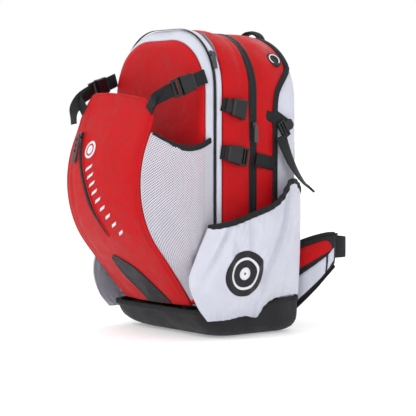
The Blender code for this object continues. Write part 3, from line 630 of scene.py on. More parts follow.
def make_walls():
    red, white = [LOOKS["red"], LOOKS["lining"]], [LOOKS["white"], LOOKS["lining"]]

    def rear_relief(p, n):
        held = between(p.y, -0.0108, curve(BINDING_LINE, p.z) - 0.002) ** 0.6
        soft = 0.0030 + 0.0016 * rough(p, 16.0, (1, 0.6, 1), 3.0) + 0.0016 * rough(p, 42.0, (1, 0.35, 1), 8.0)
        valley = 0.0022 * bump(p.y, 0.004, 0.010) * ease((p.z - 0.28) / 0.08)
        return held * (soft if p.z > 0.05 else 0.0) - valley

    start = section_between(MAIN_ZIP, BINDING, -0.0106)
    loops = [loop(start, bottom=0.006)]
    loops += [loop(section_between(MAIN_ZIP, BINDING, y), bottom=0.006)
              for y in (-0.004, 0.003, 0.010, 0.017, 0.024, 0.031)]
    end = binding_loop(shift=-0.0004)
    loops += rows_between(loops[-1], end, 7)[2:]
    bag_wall("rear_gusset_skin", loops, red, "back", "red_nylon", "rear_gusset", rear_relief)

    def mid_relief(p, n):
        held = between(p.y, -0.0766, -0.0132) ** 0.55
        soft = 0.0042 + 0.0020 * rough(p, 14.0, (1, 0.5, 1), 5.0) + 0.0018 * rough(p, 38.0, (1, 0.3, 1.2), 2.0)
        deep = 0.75 + 0.5 * rough(p, 12.0, seed=4.0)
        valley = 0.0048 * bump(p.y, -0.031, 0.012) * ease((p.z - 0.30) / 0.07) * deep
        tuck = 0.0030 * bump(p.z, 0.408 - (p.y + 0.079) * 0.2, 0.018) * bump(p.y, -0.079, 0.04)
        return held * soft - held * valley - tuck * held

    loops = [loop(section_between(BAND_REAR, MAIN_ZIP, blend(-0.0766, -0.0132, k / 10))) for k in range(11)]
    bag_wall("mid_gusset_skin", loops, red, "front_half", "red_nylon", "mid_gusset", mid_relief)

    def band_relief(p, n):
        held = between(p.y, -0.0892, -0.0770) ** 0.6
        return held * (0.0021 + 0.0012 * rough(p, 45.0, (1, 0.3, 1), 6.0) + 0.0008 * rough(p, 20.0, seed=1.0))

    loops = [loop(section_between(FRONT_ZIP, BAND_REAR, blend(-0.0892, -0.0770, k / 5))) for k in range(6)]
    bag_wall("mid_band_skin", loops, white, "front_half", "white_nylon", "mid_band", band_relief)

    def lid_relief(p, n):
        held = between(p.y, -0.1090, -0.0908) ** 0.6
        return held * (0.0022 + 0.0018 * rough(p, 40.0, (1, 0.3, 1), 9.0) + 0.0010 * rough(p, 18.0, seed=7.0))

    loops = [loop(section_between(LID_EDGE, FRONT_ZIP, blend(-0.1090, -0.0908, k / 6))) for k in range(7)]
    bag_wall("lid_band_skin", loops, white, "lid", "white_nylon", "lid_band", lid_relief)

    # The lid's red front: a rounded rim and a broad face that crowns a little
    face = loop(LID_FACE)
    rows = rows_between(loop((-0.1094, *LID_EDGE[1:])), face, 5)
    swells = [0.0022 * math.sin(math.pi * k / 4) for k in range(len(rows))]
    rows = [[Vector((p.x, p.y - swell, p.z)) for p in row] for swell, row in zip(swells, rows)]
    heart = Vector((0.0, LID_FACE[0], 0.29))
    rows += [[heart.lerp(p, 1 - k / 14) for p in face] for k in range(1, 14)]
    shape = Shape().add(rows, caps="last")
    obj = shape.build("lid_panel_skin", red, centre=(0, 0.2, 0.28))
    plan_cloth(obj)

    def face_relief(p, n):
        out = max(abs(p.x) / 0.118, abs(p.z - 0.287) / 0.221)
        held = ease((1.08 - out) / 0.3)
        return held * (0.0016 + 0.0022 * rough(p, 11.0, seed=2.0) + 0.0016 * rough(p, 30.0, (0.5, 1, 1), 6.0))

    sculpt(obj, face_relief)
    thicken(obj, WALL, smooth=0, inside=1)
    put(obj, "lid", "red_nylon", "lid_panel")


def plan_cloth(obj):
    """Gives faces that look along Y or Z flat cloth coordinates, so that their weave runs straight."""
    mesh = obj.data
    layer = mesh.uv_layers["cloth"].data
    for face in mesh.polygons:
        if abs(face.normal.y) > 0.7 or abs(face.normal.z) > 0.85:
            for corner in face.loop_indices:
                p = mesh.vertices[mesh.loops[corner].vertex_index].co
                layer[corner].uv = (p.x, p.z if abs(face.normal.y) > 0.7 else p.y)


def make_back():
    """The white back behind the binding, with a black mesh panel on its rear face."""
    first = binding_loop()
    edge, face = loop(BACK_EDGE), loop(BACK_FACE)
    rows = rows_between(first, edge, 7) + rows_between(edge, face, 4)[1:]
    heart = Vector((0.0, BACK_Y, 0.27))
    rows += [[heart.lerp(p, 1 - k / 14) for p in face] for k in range(1, 14)]
    shape = Shape().add(rows, caps="last", kind=lambda k, i: 2 if k > 9 else 0)
    obj = shape.build("back_shell_skin", [LOOKS["white"], LOOKS["lining"], LOOKS["foam"]], centre=(0, -0.2, 0.28))
    plan_cloth(obj)

    def relief(p, n):
        if p.y > BACK_Y - 0.001:
            return 0.0
        held = between(p.y, curve(BINDING_LINE, p.z), 0.0945) ** 0.6
        soft = 0.0022 + 0.0020 * rough(p, 17.0, (1, 0.5, 1), 4.0) + 0.0014 * rough(p, 44.0, (1, 0.4, 1), 1.0)
        return held * (soft if p.z > 0.05 else 0.0)

    sculpt(obj, relief)
    thicken(obj, WALL, smooth=0)
    put(obj, "back", "white_nylon", "back_shell")


def plan_loop(z, half, front, back, radius, back_radius):
    """A fine loop in a plane across Z, from the middle of the front towards +X."""
    right = [(blend(0, half - radius, k / 8), front) for k in range(8)]
    for k in range(8):
        t = math.radians(-90 + 90 * k / 8)
        right.append((half - radius + radius * math.cos(t), front + radius + radius * math.sin(t)))
    right += [(half, blend(front + radius, back - back_radius, k / 14)) for k in range(14)]
    for k in range(5):
        t = math.radians(90 * k / 5)
        right.append((half - back_radius + back_radius * math.cos(t),
                      back - back_radius + back_radius * math.sin(t)))
    right += [(blend(half - back_radius, 0, k / 8), back) for k in range(9)]
    left = [(-x, y) for x, y in reversed(right[1:-1])]
    return [Vector((x, y, z)) for x, y in right + left]


TRAY = ((0.0004, 0.114, -0.066, 0.084, 0.034, 0.014), (0.007, 0.131, -0.086, 0.0945, 0.036, 0.016),
        (0.022, 0.1440, -0.105, 0.0988, 0.036, 0.016), (0.050, 0.1465, -0.121, 0.0995, 0.036, 0.016))
RIM = ((-0.2, 0.050), (-0.020, 0.050), (0.002, 0.051), (0.030, 0.059), (0.050, 0.0640), (0.2, 0.0645))  # y, z


def tray_rows():
    """Loops up the outside of the base, its last along the rim, which stands higher behind."""
    knots = [[(t[0], t[k]) for t in TRAY] for k in range(1, 6)]
    rows = []
    for k in range(10):
        z = blend(0.0004, 0.050, (k / 9) ** 1.15)
        rows.append(plan_loop(z, *[curve(knot, z) for knot in knots]))
    for k, row in enumerate(rows):
        reach = ease(k / 9)
        rows[k] = [Vector((p.x, p.y, p.z * blend(1.0, curve(RIM, p.y) / 0.050, reach))) for p in row]
    return rows


def make_base():
    """The stiff black base: a flat sole, turned-up walls and a bound rim."""
    walls = tray_rows()
    sole = [[Vector((p.x * s, 0.009 + (p.y - 0.009) * s, p.z)) for p in walls[0]]
            for s in (0.08, 0.3, 0.55, 0.78, 0.93)]
    obj = Shape().add(sole + walls, caps="first").build("base_skin", [LOOKS["black"], LOOKS["lining"]],
                                                        centre=(0, 0, 0.3))
    plan_cloth(obj)

    def relief(p, n):
        if p.z < 0.004:
            return 0.0
        held = ease(p.z / 0.02) * ease((curve(RIM, p.y) - p.z) / 0.012)
        lump = 0.0035 * bump(p.y, 0.055, 0.035) * ease((abs(p.x) - 0.08) / 0.04)
        return held * (0.0016 * rough(p, 22.0, (1, 1, 0.6), 2.0) + 0.0012 * rough(p, 60.0, seed=5.0) + lump)

    sculpt(obj, relief)
    thicken(obj, 0.0030, smooth=0, inside=1)
    put(obj, "back", "black_cloth", "base_tray")
    # A folded tape binds the rim all round
    tape = Shape()
    rim = walls[-1]
    section = ((0.0010, -0.0085), (0.0013, -0.004), (0.0009, 0.0004), (-0.0012, 0.0014),
               (-0.0034, 0.0004), (-0.0036, -0.004), (-0.0033, -0.0085))  # out, up
    rings = []
    for p, ahead in headings(rim, wrap=True):
        out = ahead.cross(Z_AXIS).normalized()
        rings.append([p + out * a + Vector((0, 0, b)) for a, b in section])
    tape.add(rings, wrap=True)
    obj = rounded(tape.build("base_rim_tape", LOOKS["binding"]))
    put(obj, "back", "black_webbing")


# ---------------------------------------------------------------- zips

def coil(shape, path, across, half, pitch=0.0021, high=0.0011):
    """Adds a closed zip's coil: a row of interlocking wire loops along path."""
    far = distances(path)[-1]
    count = int(far / pitch)
    points = resample(path, count)
    for k, (p, ahead) in enumerate(headings(points)):
        side = across(k / (count - 1), ahead)
        up = ahead.cross(side)
        rings = []
        for v, s in ((-half, 0.25), (-half * 0.75, 1.0), (half * 0.75, 1.0), (half, 0.25)):
            skew = pitch * 0.16 * (1 if v > 0 else -1)
            corners = ((-0.40, 0.0), (-0.24, 1.0), (0.24, 1.0), (0.40, 0.0))
            rings.append([p + side * v + ahead * (pitch * a + skew) + up * high * b * s for a, b in corners])
        shape.add(rings, kind=1)


def make_long_zips():
    """The two zips that run over the pack's arch: woven tapes and a coil between them."""
    def across(share, ahead):
        return square(Y_AXIS, ahead)

    line = arch_line(MAIN_ZIP, 0.0016)
    for name, y, body, node in (("main_zip_rear", 0.0046, "back", "main_zip_rear_tape"),
                                ("main_zip_front", -0.0046, "front_half", "main_zip_front_tape")):
        shape = Shape()
        path = [p + Vector((0, y, 0)) for p in line]
        strip(shape, path, (0, 1, 0), 0.0086, 0.0012, smooth=False)
        edge = [p + Vector((0, y * 0.26, 0)) for p in arch_line(MAIN_ZIP, 0.0021)]
        coil(shape, edge, across, 0.0013)
        put(shape.build(name + "_look", [LOOKS["tape"], LOOKS["coil"]]), body, "zip_tape", node)
    shape = Shape()
    path = [p + Vector((0, -0.0035, 0)) for p in arch_line(FRONT_ZIP, 0.0012)]
    strip(shape, path, (0, 1, 0), 0.0042, 0.0010, smooth=False)
    coil(shape, [p + Vector((0, -0.0022, 0)) for p in arch_line(FRONT_ZIP, 0.0018)], across, 0.0010, 0.0019,
         0.0008)
    put(shape.build("front_zip_look", [LOOKS["tape"], LOOKS["coil"]]), "lid", "zip_tape", "front_zip_tape")


# ---------------------------------------------------------------- the carrier on the front

ARC_Y, ARC_Z, ARC_RADIUS, ARC_LOW_Z, ARC_HIGH_Z = -0.065, 0.271, 0.183, 0.170, 0.360
PANEL_BOTTOM, PANEL_TOP = (-0.1265, 0.060), (-0.205, 0.422)  # y, z
PANEL_HALF, PANEL_SETBACK = 0.110, 0.012
PANEL_WIDTHS = ((0.060, 0.100), (0.10, 0.106), (0.14, 0.110), (0.385, 0.110), (0.400, 0.104),
                (0.422, 0.082))  # z, half width


def panel_y(z):
    """The carrier panel's front face on its middle line."""
    def arc(at):
        return ARC_Y - math.sqrt(ARC_RADIUS**2 - (at - ARC_Z) ** 2)

    if z < ARC_LOW_Z:
        return blend(PANEL_BOTTOM[0], arc(ARC_LOW_Z), (z - PANEL_BOTTOM[1]) / (ARC_LOW_Z - PANEL_BOTTOM[1]))
    if z > ARC_HIGH_Z:
        return blend(arc(ARC_HIGH_Z), PANEL_TOP[0], (z - ARC_HIGH_Z) / (PANEL_TOP[1] - ARC_HIGH_Z))
    return arc(z)


def panel_point(x, z, lift=0.0):
    y = sum(panel_y(z + d) for d in (-0.012, 0.0, 0.012)) / 3 if 0.08 < z < 0.41 else panel_y(z)
    return Vector((x, y + PANEL_SETBACK * (x / PANEL_HALF) ** 2 - lift, z))


def panel_half(z):
    points = PANEL_WIDTHS
    for (z0, a), (z1, b) in zip(points, points[1:]):
        if z <= z1:
            return blend(a, b, (z - z0) / (z1 - z0))
    return points[-1][1]


def make_carrier_panel():
    rows = []
    for k in range(57):
        z = blend(PANEL_BOTTOM[1] - 0.0045, PANEL_TOP[1], k / 56)
        half = panel_half(z)
        row = []
        for i in range(33):
            c = -1 + 2 * i / 32
            x = half * c
            top = z + 0.0045 * (1 - c * c) * ease((z - 0.38) / 0.042) - 0.006 * c * ease((z - 0.40) / 0.022)
            p = panel_point(x, min(top, 0.428))
            edge = ease((1 - abs(c)) / 0.12)
            soft = 0.0022 * rough(p, 12.0, (1, 1, 0.5), 3.0) + 0.0011 * rough(p, 34.0, (1, 1, 0.7), 5.0)
            welt = 0.0016 * bump(c, -0.74 + 0.10 * ease((z - 0.3) / 0.12), 0.05)
            pull = 0.0020 * bump(z, 0.075, 0.03) * math.sin(c * 11.0)
            p.y -= edge * (0.0016 + soft) - welt + pull * edge
            row.append(p)
        rows.append(row)
    obj = Shape().add(rows, closed=False).build("carrier_panel_skin", [LOOKS["red"], LOOKS["lining"]],
                                                centre=(0, 0.3, 0.24))
    thicken(obj, 0.0046, smooth=1, inside=1)
    put(obj, "carrier", "red_nylon", "carrier_panel")
    tree = surface(obj)
    # Bound edge: a narrow red piping down both sides and along the top
    line = [panel_point(-panel_half(z), z, 0.0) for z in [blend(0.064, 0.4215, k / 40) for k in range(41)]]
    top = [rows[-1][i] for i in range(0, 33, 2)]
    path, _ = lay(tree, resample(line + top[1:-1] + flip(reversed(line), -1), 170), 0.0)
    path = [p + Vector((0, 0.0018, 0)) for p in path]

    def sides(ahead):
        side = ahead.cross(Y_AXIS).normalized()
        return side, ahead.cross(side)

    piping = Shape().add(tube(path, sides, 0.0026, 0.0026, 8))
    put(piping.build("carrier_piping", LOOKS["red"]), "carrier", "red_nylon")
    inner = [panel_point(0.935 * p.x, p.z, LAY_LIFT) for p in line[1:-1]]
    stitches("carrier_edge_stitches", [inner, flip(inner, -1)], tree, "carrier", "red_nylon", LOOKS["red_thread"])
    make_patch(tree)
    make_carrier_zip(tree)
    make_prints(tree)


def print_on(shape, name, look, thick, centre):
    """Builds a thin layer that lies on a surface and stands out from it, away from centre."""
    obj = shape.build(name, look, centre=centre)
    return thicken(obj, thick, smooth=0, offset=1.0)


def sheet_on(tree, rows, lift, name, look, thick, closed=False):
    """A thin sheet laid on the carrier panel, its rows given roughly."""
    laid = [lay(tree, row, lift)[0] for row in rows]
    return print_on(Shape().add(laid, closed=closed, caps=False), name, look, thick, (0, 0.3, 0.24))


def patch_edge(z):
    """Left and right edges of the black patch at the foot of the panel, at height z."""
    left = curve(((0.060, -0.012), (0.085, -0.024), (0.110, -0.034), (0.130, -0.036), (0.1385, -0.030),
                  (0.1425, -0.018)), z)
    right = curve(((0.060, 0.056), (0.085, 0.045), (0.105, 0.036), (0.122, 0.022), (0.134, 0.004),
                   (0.1425, -0.014)), z)
    return left, right


def make_patch(tree):
    rows = []
    for k in range(25):
        z = blend(0.0572, 0.1424, k / 24)
        left, right = patch_edge(z)
        rows.append([panel_point(blend(left, right, i / 14), z, LAY_LIFT) for i in range(15)])
    obj = sheet_on(tree, rows, 0.0002, "carrier_patch", LOOKS["black"], 0.0009)
    put(obj, "carrier", "black_cloth")
    heights = [blend(0.066, 0.138, k / 20) for k in range(21)]
    inner = [[panel_point(blend(*patch_edge(z), share), z, LAY_LIFT) for z in heights] for share in (0.07, 0.93)]
    stitches("carrier_patch_stitches", inner, surface(obj), "carrier")


ZIP_TOP, ZIP_LOW = (-0.0765, 0.360), (0.008, 0.178)  # x, z


def zip_line(count, start=0.0, end=1.0):
    return [panel_point(blend(ZIP_TOP[0], ZIP_LOW[0], t), blend(ZIP_TOP[1], ZIP_LOW[1], t), LAY_LIFT)
            for t in [blend(start, end, k / (count - 1)) for k in range(count)]]


def make_carrier_zip(tree):
    """The slanted pocket zip: tape and coil, with a stitched welt along each side."""
    tilt = math.atan2(ZIP_LOW[0] - ZIP_TOP[0], ZIP_TOP[1] - ZIP_LOW[1])
    side = Vector((math.cos(tilt), 0.0, math.sin(tilt)))
    on, _ = lay(tree, zip_line(60), 0.0009)
    shape = Shape()
    strip(shape, on, side, lambda t: 0.0100 * min(1.0, (1 - t) * 2.4 + 0.22), 0.0012, smooth=False)
    coil(shape, lay(tree, zip_line(80, 0.0, 0.97), 0.0014)[0], lambda t, ahead: square(side, ahead), 0.0014)
    put(shape.build("carrier_zip_look", [LOOKS["tape"], LOOKS["coil"]]), "carrier", "zip_tape", "carrier_zip_tape")
    lines = [[p + side * reach * min(1.0, (59 - k) / 25 + 0.3) for k, p in enumerate(zip_line(60))]
             for reach in (-0.0068, 0.0068)]
    stitches("carrier_zip_stitches", lines, tree, "carrier", "red_nylon", LOOKS["red_thread"])
    welt = Shape()
    for line in lines:
        low = lay(tree, line, 0.0004)[0]
        strip(welt, low, side, 0.0030, 0.0016, smooth=False)
    put(welt.build("carrier_zip_welts", LOOKS["red"]), "carrier", "red_nylon")


def make_prints(tree):
    """Plain decoration in place of marks: a ringed disc, and a row of slanted bars down the panel."""
    centre = (-0.030, 0.330)  # x, z
    squash = 0.94
    for name, look, slot, inner, outer, thick in (
            ("panel_disc", "print", "white_nylon", 0.0006, 0.0165, 0.00035),
            ("panel_disc_ring", "red", "red_nylon", 0.0085, 0.0115, 0.0006)):
        rings = []
        for k in range(5):
            r = blend(inner, outer, k / 4)
            rings.append([panel_point(centre[0] + r * math.cos(t), centre[1] + r * math.sin(t) * squash, LAY_LIFT)
                          for t in turns(36)])
        put(sheet_on(tree, rings, 0.0002, name, LOOKS[look], thick, closed=True), "carrier", slot)
    bars = Shape()
    for k in range(9):
        t = k / 8
        x, z = curve(((0.0, -0.022), (0.4, 0.000), (1.0, 0.047)), t), blend(0.298, 0.186, t)
        half, tall, lean = blend(0.0095, 0.0065, t), 0.0030, -0.45
        rows = []
        for b in (-1, -0.33, 0.33, 1):
            row = [panel_point(x + half * a - lean * tall * b, z + tall * b - lean * half * a, LAY_LIFT)
                   for a in [-1 + j / 3 for j in range(7)]]
            rows.append(lay(tree, row, 0.0003)[0])
        bars.add(rows, closed=False)
    put(print_on(bars, "panel_bars", LOOKS["print"], 0.0004, (0, 0.3, 0.24)), "carrier", "white_nylon")


def mesh_point(s, share):
    """A point on the carrier's right mesh side: s from the lid's edge to the panel's, share from foot to hem."""
    top = curve(((0.0, 0.352), (0.25, 0.3405), (0.5, 0.337), (0.75, 0.345), (1.0, 0.362)), s)
    z = blend(0.062, top, share)
    end = panel_point(panel_half(z) - 0.002, z)
    x = blend(0.1392, end.x + 0.0030, s) + 0.021 * math.sin(math.pi * s) * min(1.0, share * 2.5)
    y = blend(-0.1000, end.y + 0.0045, s)
    return Vector((x, y, z))


def make_carrier_sides():
    for side, sign in SIDES:
        rows = []
        for k in range(34):
            share = k / 33
            row = []
            for i in range(23):
                s = i / 22
                p = mesh_point(s, share)
                held = math.sin(math.pi * s) ** 0.7
                fold = 0.0030 * rough((s * 2.2, share * 0.9, sign), 2.1, seed=4.0)
                fold += 0.0022 * rough((s * 5.0, share * 1.2, sign), 2.4, seed=1.0)
                crease = -0.0065 * bump(s, 0.50 - 0.30 * (0.42 - share), 0.16) * ease((0.42 - share) / 0.25)
                p.x += held * (fold + crease)
                row.append(Vector((sign * p.x, p.y, p.z)))
            rows.append(row)
        obj = Shape().add(rows, closed=False).build(f"carrier_mesh_{side}_skin", LOOKS["white_mesh"],
                                                    centre=(0, -0.10, 0.2))
        thicken(obj, 0.0007, smooth=1)
        put(obj, None, "white_mesh", f"carrier_mesh_{side}")
        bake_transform(obj)
        tree = surface(obj)
        top = lay(tree, rows[-1], 0.0)[0]
        shape = Shape()
        path = [p + Vector((0, 0, -0.0040)) for p in top]
        strip(shape, path, (0, 0, 1), 0.0105, 0.0024, smooth=False)
        hem = rounded(shape.build(f"carrier_hem_{side}", LOOKS["binding"]))
        put(hem, None, "black_webbing")
        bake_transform(hem)
        width = distances(rows[-1])[-1]


# ---------------------------------------------------------------- side pockets

HEM = ((-0.118, 0.2005), (-0.080, 0.2100), (-0.040, 0.2235), (0.0, 0.2370), (0.024, 0.2530), (0.036, 0.2690),
       (0.046, 0.2770), (0.060, 0.2760), (0.093, 0.2580))
FRONT_X = ((0.034, 0.1500), (0.060, 0.1500), (0.105, 0.1455), (0.150, 0.1490), (0.200, 0.1512))
FRONT_Y = ((0.034, -0.118), (0.060, -0.140), (0.105, -0.156), (0.150, -0.142), (0.200, -0.118))
BULGE = ((0.0, 0.0008), (0.10, 0.016), (0.35, 0.033), (0.75, 0.040), (1.0, 0.0355))
FOOT = ((0.0, 0.034), (0.20, 0.0335), (0.40, 0.0375), (0.47, 0.0340), (0.52, 0.0330), (0.58, 0.0450),
        (0.66, 0.0570), (0.78, 0.0655), (1.0, 0.0680))
POCKET_BACK = (0.1460, 0.0930)


def pocket_point(along, share):
    y = blend(FRONT_Y[-1][1], POCKET_BACK[1], along)
    z = blend(curve(FOOT, along), curve(HEM, y), share)
    y = blend(curve(FRONT_Y, z), POCKET_BACK[1], along)
    edge = blend(curve(FRONT_X, z), POCKET_BACK[0], ease((along - 0.7) / 0.3))
    return Vector((edge + curve(BULGE, share) * math.sqrt(max(0.0, math.sin(math.pi * along))), y, z))


def pocket_fold(along, share, sign):
    """The gathers under the elastic hem, and the long soft folds below them."""
    gather = 0.0
    for k in range(15):
        at = 0.05 + 0.062 * k + 0.016 * noise.noise(Vector((k * 1.3, 2.0, sign)))
        deep = 0.0024 + 0.0014 * noise.noise(Vector((k * 2.1, 5.0, sign)))
        long = 0.30 + 0.22 * noise.noise(Vector((k * 1.7, 9.0, sign)))
        swing = (1 - share) * 0.05 * math.sin(k * 2.0)
        gather += deep * bump(along + swing, at, 0.026) * ease((share - (1 - long)) / long)
    drape = 0.0
    for at, lean, wide, deep, low, high in (
            (0.66, 0.22, 0.060, -0.0060, 0.10, 1.0), (0.80, 0.10, 0.050, 0.0050, 0.15, 1.0),
            (0.40, -0.16, 0.050, -0.0042, 0.35, 0.95),
            (0.22, -0.20, 0.055, 0.0040, 0.20, 0.85), (0.52, 0.30, 0.045, 0.0030, 0.0, 0.7),
            (0.12, 0.14, 0.05, -0.0040, 0.3, 0.98)):
        ends = ease((share - low) / 0.2) * ease((high - share) / 0.15)
        drape += deep * bump(along, at + lean * (share - 0.6), wide) * ends
    pleat = -0.0080 * bump(along, 0.495, 0.030) * ease((0.26 - share) / 0.2)
    pucker = 0.0016 * math.sin(along * 90.0) * ease((0.14 - share) / 0.12)
    soft = 0.0022 * rough((along * 2.0, share * 1.4, sign * 3.0), 2.6, seed=2.0)
    held = min(1.0, math.sin(math.pi * along) * 2.2)
    # The cloth lies flatter round the printed disc
    calm = 1 - 0.75 * bump(math.hypot((along - 0.383) * 0.25, (share - 0.43) * 0.19), 0.0, 0.060)
    return held * calm * (1.5 * gather + 1.7 * drape + pleat + pucker + soft)


def make_pockets():
    for side, sign in SIDES:
        rows = []
        for k in range(43):
            share = k / 42
            row = []
            for i in range(97):
                along = 0.5 - 0.5 * math.cos(math.pi * (0.02 + 0.96 * i / 96)) if 0 < i < 96 else i / 96
                p = pocket_point(along, share)
                p.x += pocket_fold(along, share, sign)
                row.append(Vector((sign * p.x, p.y, p.z)))
            rows.append(row)
        obj = Shape().add(rows, closed=False).build(f"side_pocket_{side}_skin", LOOKS["white"],
                                                    centre=(0, 0, 0.15))
        thicken(obj, 0.0022)
        put(obj, "back", "white_nylon", f"side_pocket_{side}")
        tree = surface(obj)
        shape = Shape()
        top = [p + Vector((0, 0, -0.0040)) for p in resample(rows[-1], 90)]
        path = [p - n * 0.0006 for p, n in zip(*lay(tree, top, 0.0))]
        path[0], path[-1] = rows[-1][0] + Vector((0, 0, -0.004)), rows[-1][-1] + Vector((0, 0, -0.004))
        strip(shape, path, (0, 0, 1), 0.0108, 0.0046, smooth=False)
        hem = rounded(shape.build(f"pocket_hem_{side}", LOOKS["binding"]))
        put(hem, "back", "black_webbing")
        low = [p + Vector((0, 0, -0.0108)) for p in resample(rows[-1], 90)][2:-2]
        stitches(f"pocket_hem_stitches_{side}", [low], tree, "back", "white_nylon", LOOKS["white_thread"])
        emblem = pocket_emblem(tree, side, sign)
        area = 0.5 * sum((distances(low)[-1] + distances(high)[-1]) * (high[48] - low[48]).length
                         for low, high in zip(rows, rows[1:]))


def pocket_emblem(tree, side, sign):
    """A plain printed disc with a ring and a spot in it, in place of a mark."""
    def spot(a, b):
        return Vector((sign * 0.25, -0.060 + a, 0.1165 + b))

    def on_face(a, b, lift):
        origin = spot(a, b)
        hit, normal, _, _ = tree.ray_cast(origin, Vector((-sign, 0, 0)))
        return hit + normal * lift

    thick, centre = 0.0003, (0, 0, 0.11)
    radii = [blend(0.0008, 0.0400, k / 19) for k in range(20)]
    disc = Shape().add([[on_face(r * math.cos(t), r * math.sin(t), 0.0004) for t in turns(56)] for r in radii],
                       caps=False)
    obj = put(print_on(disc, f"pocket_disc_{side}", LOOKS["dark_print"], thick, centre), "back", "black_cloth")
    # A plain ring with a spot inside it
    marks = Shape()
    angles = [math.radians(360 * j / 40) for j in range(41)]
    for inner, outer in ((0.0240, 0.0285), (0.0020, 0.0110)):
        marks.add([[on_face(r * math.cos(t), r * math.sin(t), 0.0008) for t in angles]
                   for r in (inner, (inner + outer) / 2, outer)], closed=False)
    rings = put(print_on(marks, f"pocket_rings_{side}", LOOKS["print"], thick, centre), "back", "white_nylon")
    return obj, rings


# ---------------------------------------------------------------- binding, port, handle

def make_binding():
    """The black edge binding between the red gusset and the white back, over the arch."""
    line = [p for p in binding_loop(-0.0022) if p.z > 0.045]
    section = ((-0.0056, -0.0012), (-0.0052, 0.0006), (-0.0020, 0.0013), (0.0020, 0.0013),
               (0.0052, 0.0006), (0.0056, -0.0012), (0.0, -0.0020))  # across, out
    rings = []
    for p, ahead in headings(line):
        out = Vector((p.x, 0, p.z - 0.30 if p.z > 0.41 else 0.0)).normalized()
        side = ahead.cross(out).normalized()
        out = side.cross(ahead).normalized()
        if side.y < 0:
            side = -side
        rings.append([p + side * a + out * b for a, b in section])
    around = [across for across, _ in section] + [section[0][0]]
    obj = Shape().add(rings, around=around).build("edge_binding", LOOKS["binding"])
    put(obj, "back", "black_webbing")
    tree = surface(obj)
    lines = [[p + Vector((0, reach, 0)) for p in line[2:-2]] for reach in (-0.0040, 0.0040)]
    stitches("binding_stitches", lines, tree, "back")


def make_port():
    """The rubber cable port: a flange, a reflective C ring and a slit flap."""
    y, angle = 0.057, math.radians(37.5)
    normal = Vector((math.cos(angle), 0.0, math.sin(angle)))
    up = Vector((-math.sin(angle), 0.0, math.cos(angle)))
    _, half, _, top, radius = section_between(BINDING, BACK_EDGE, y)
    spot = Vector((half - radius, y, top - radius)) + normal * (radius * math.cos(math.radians(7.5)) + 0.0005)

    def at(r, t, out):
        return spot + (Y_AXIS * math.cos(t) + up * math.sin(t)) * r + normal * out

    section = ((0.0154, 0.0010), (0.0158, 0.0030), (0.0148, 0.0046), (0.0130, 0.0053), (0.0112, 0.0048),
               (0.0106, 0.0040), (0.0092, 0.0036), (0.0060, 0.0034), (0.0025, 0.0042),
               (0.0006, 0.0030))  # radius, out
    flap, lobe = 0.007, 0.10  # the flap in the middle, inside this radius, has three low lobes
    rings = [[at(r * (1 + (lobe * max(0.0, math.cos(3 * t)) if r < flap else 0.0)), t, out) for t in turns(48)]
             for r, out in section]
    put(Shape().add(rings).build("cable_port_look", LOOKS["rubber"]), "back", "black_rubber", "cable_port")
    rings = []
    for k in range(49):
        t = math.radians(-124) - math.radians(292) * k / 48
        rings.append([at(0.0103 + 0.0012 * math.cos(a), t, 0.0047 + 0.0008 * math.sin(a)) for a in turns(8)])
    put(Shape().add(rings).build("port_ring", LOOKS["reflective"]), "back", "grey_puller")


def make_handle():
    foot = Vector((0.0, 0.1025, 0.496))
    half = [(-0.034, 0.492), (-0.0345, 0.506), (-0.0315, 0.524), (-0.023, 0.5370), (-0.011, 0.5435), (0.0, 0.5450)]
    line = [(x, foot.y, z) for x, z in half] + [(-x, foot.y, z) for x, z in reversed(half[:-1])]
    shape = Shape()
    strip(shape, line, (0, 1, 0), lambda t: 0.0150 + 0.0030 * ease((0.5 - abs(t - 0.5)) / 0.3), 0.0030)
    put(shape.build("grab_handle_look", LOOKS["webbing"]), "handle", "black_webbing", "grab_handle")
    # A padded core fills its upper bend
    count = 36
    path = spline([(x * 0.94, y, z - 0.0010) for x, y, z in line[1:-1]], count)
    rings = []
    for k, (p, ahead) in enumerate(headings(path)):
        swell = 0.6 + 0.4 * math.sin(math.pi * k / (count - 1))
        rings.append(oval(p, Y_AXIS, ahead.cross(Y_AXIS), 0.0078 * swell, 0.0036 * swell, 12))
    put(Shape().add(rings).build("grab_handle_core", LOOKS["binding"]), "handle", "black_webbing")


# ---------------------------------------------------------------- pads and padded straps

def box_cloth(obj):
    """Straight cloth coordinates for a padded form, each face mapped along the axis it faces most."""
    mesh = obj.data
    layer = mesh.uv_layers.get("cloth") or mesh.uv_layers.new(name="cloth")
    for face in mesh.polygons:
        n = face.normal
        axis = max(range(3), key=lambda k: abs(n[k]))
        a, b = ((1, 2), (0, 2), (0, 1))[axis]
        for corner in face.loop_indices:
            co = mesh.vertices[mesh.loops[corner].vertex_index].co
            layer.data[corner].uv = (co[a], co[b])


def paint_faces(obj, choose):
    """Gives each face the material that choose(centre, normal) names by number."""
    for face in obj.data.polygons:
        face.material_index = choose(face.center, face.normal)


def slab(rows_front, rows_back):
    """A closed pad from its front and back grids, joined round the edge."""
    shape = Shape()
    shape.add(rows_front, closed=False)
    shape.add([list(row) for row in rows_back], closed=False)
    for front, back in ((rows_front[0], rows_back[0]), (rows_front[-1], rows_back[-1]),
                        ([r[0] for r in rows_front], [r[0] for r in rows_back]),
                        ([r[-1] for r in rows_front], [r[-1] for r in rows_back])):
        shape.add([front, back], closed=False)
    return shape


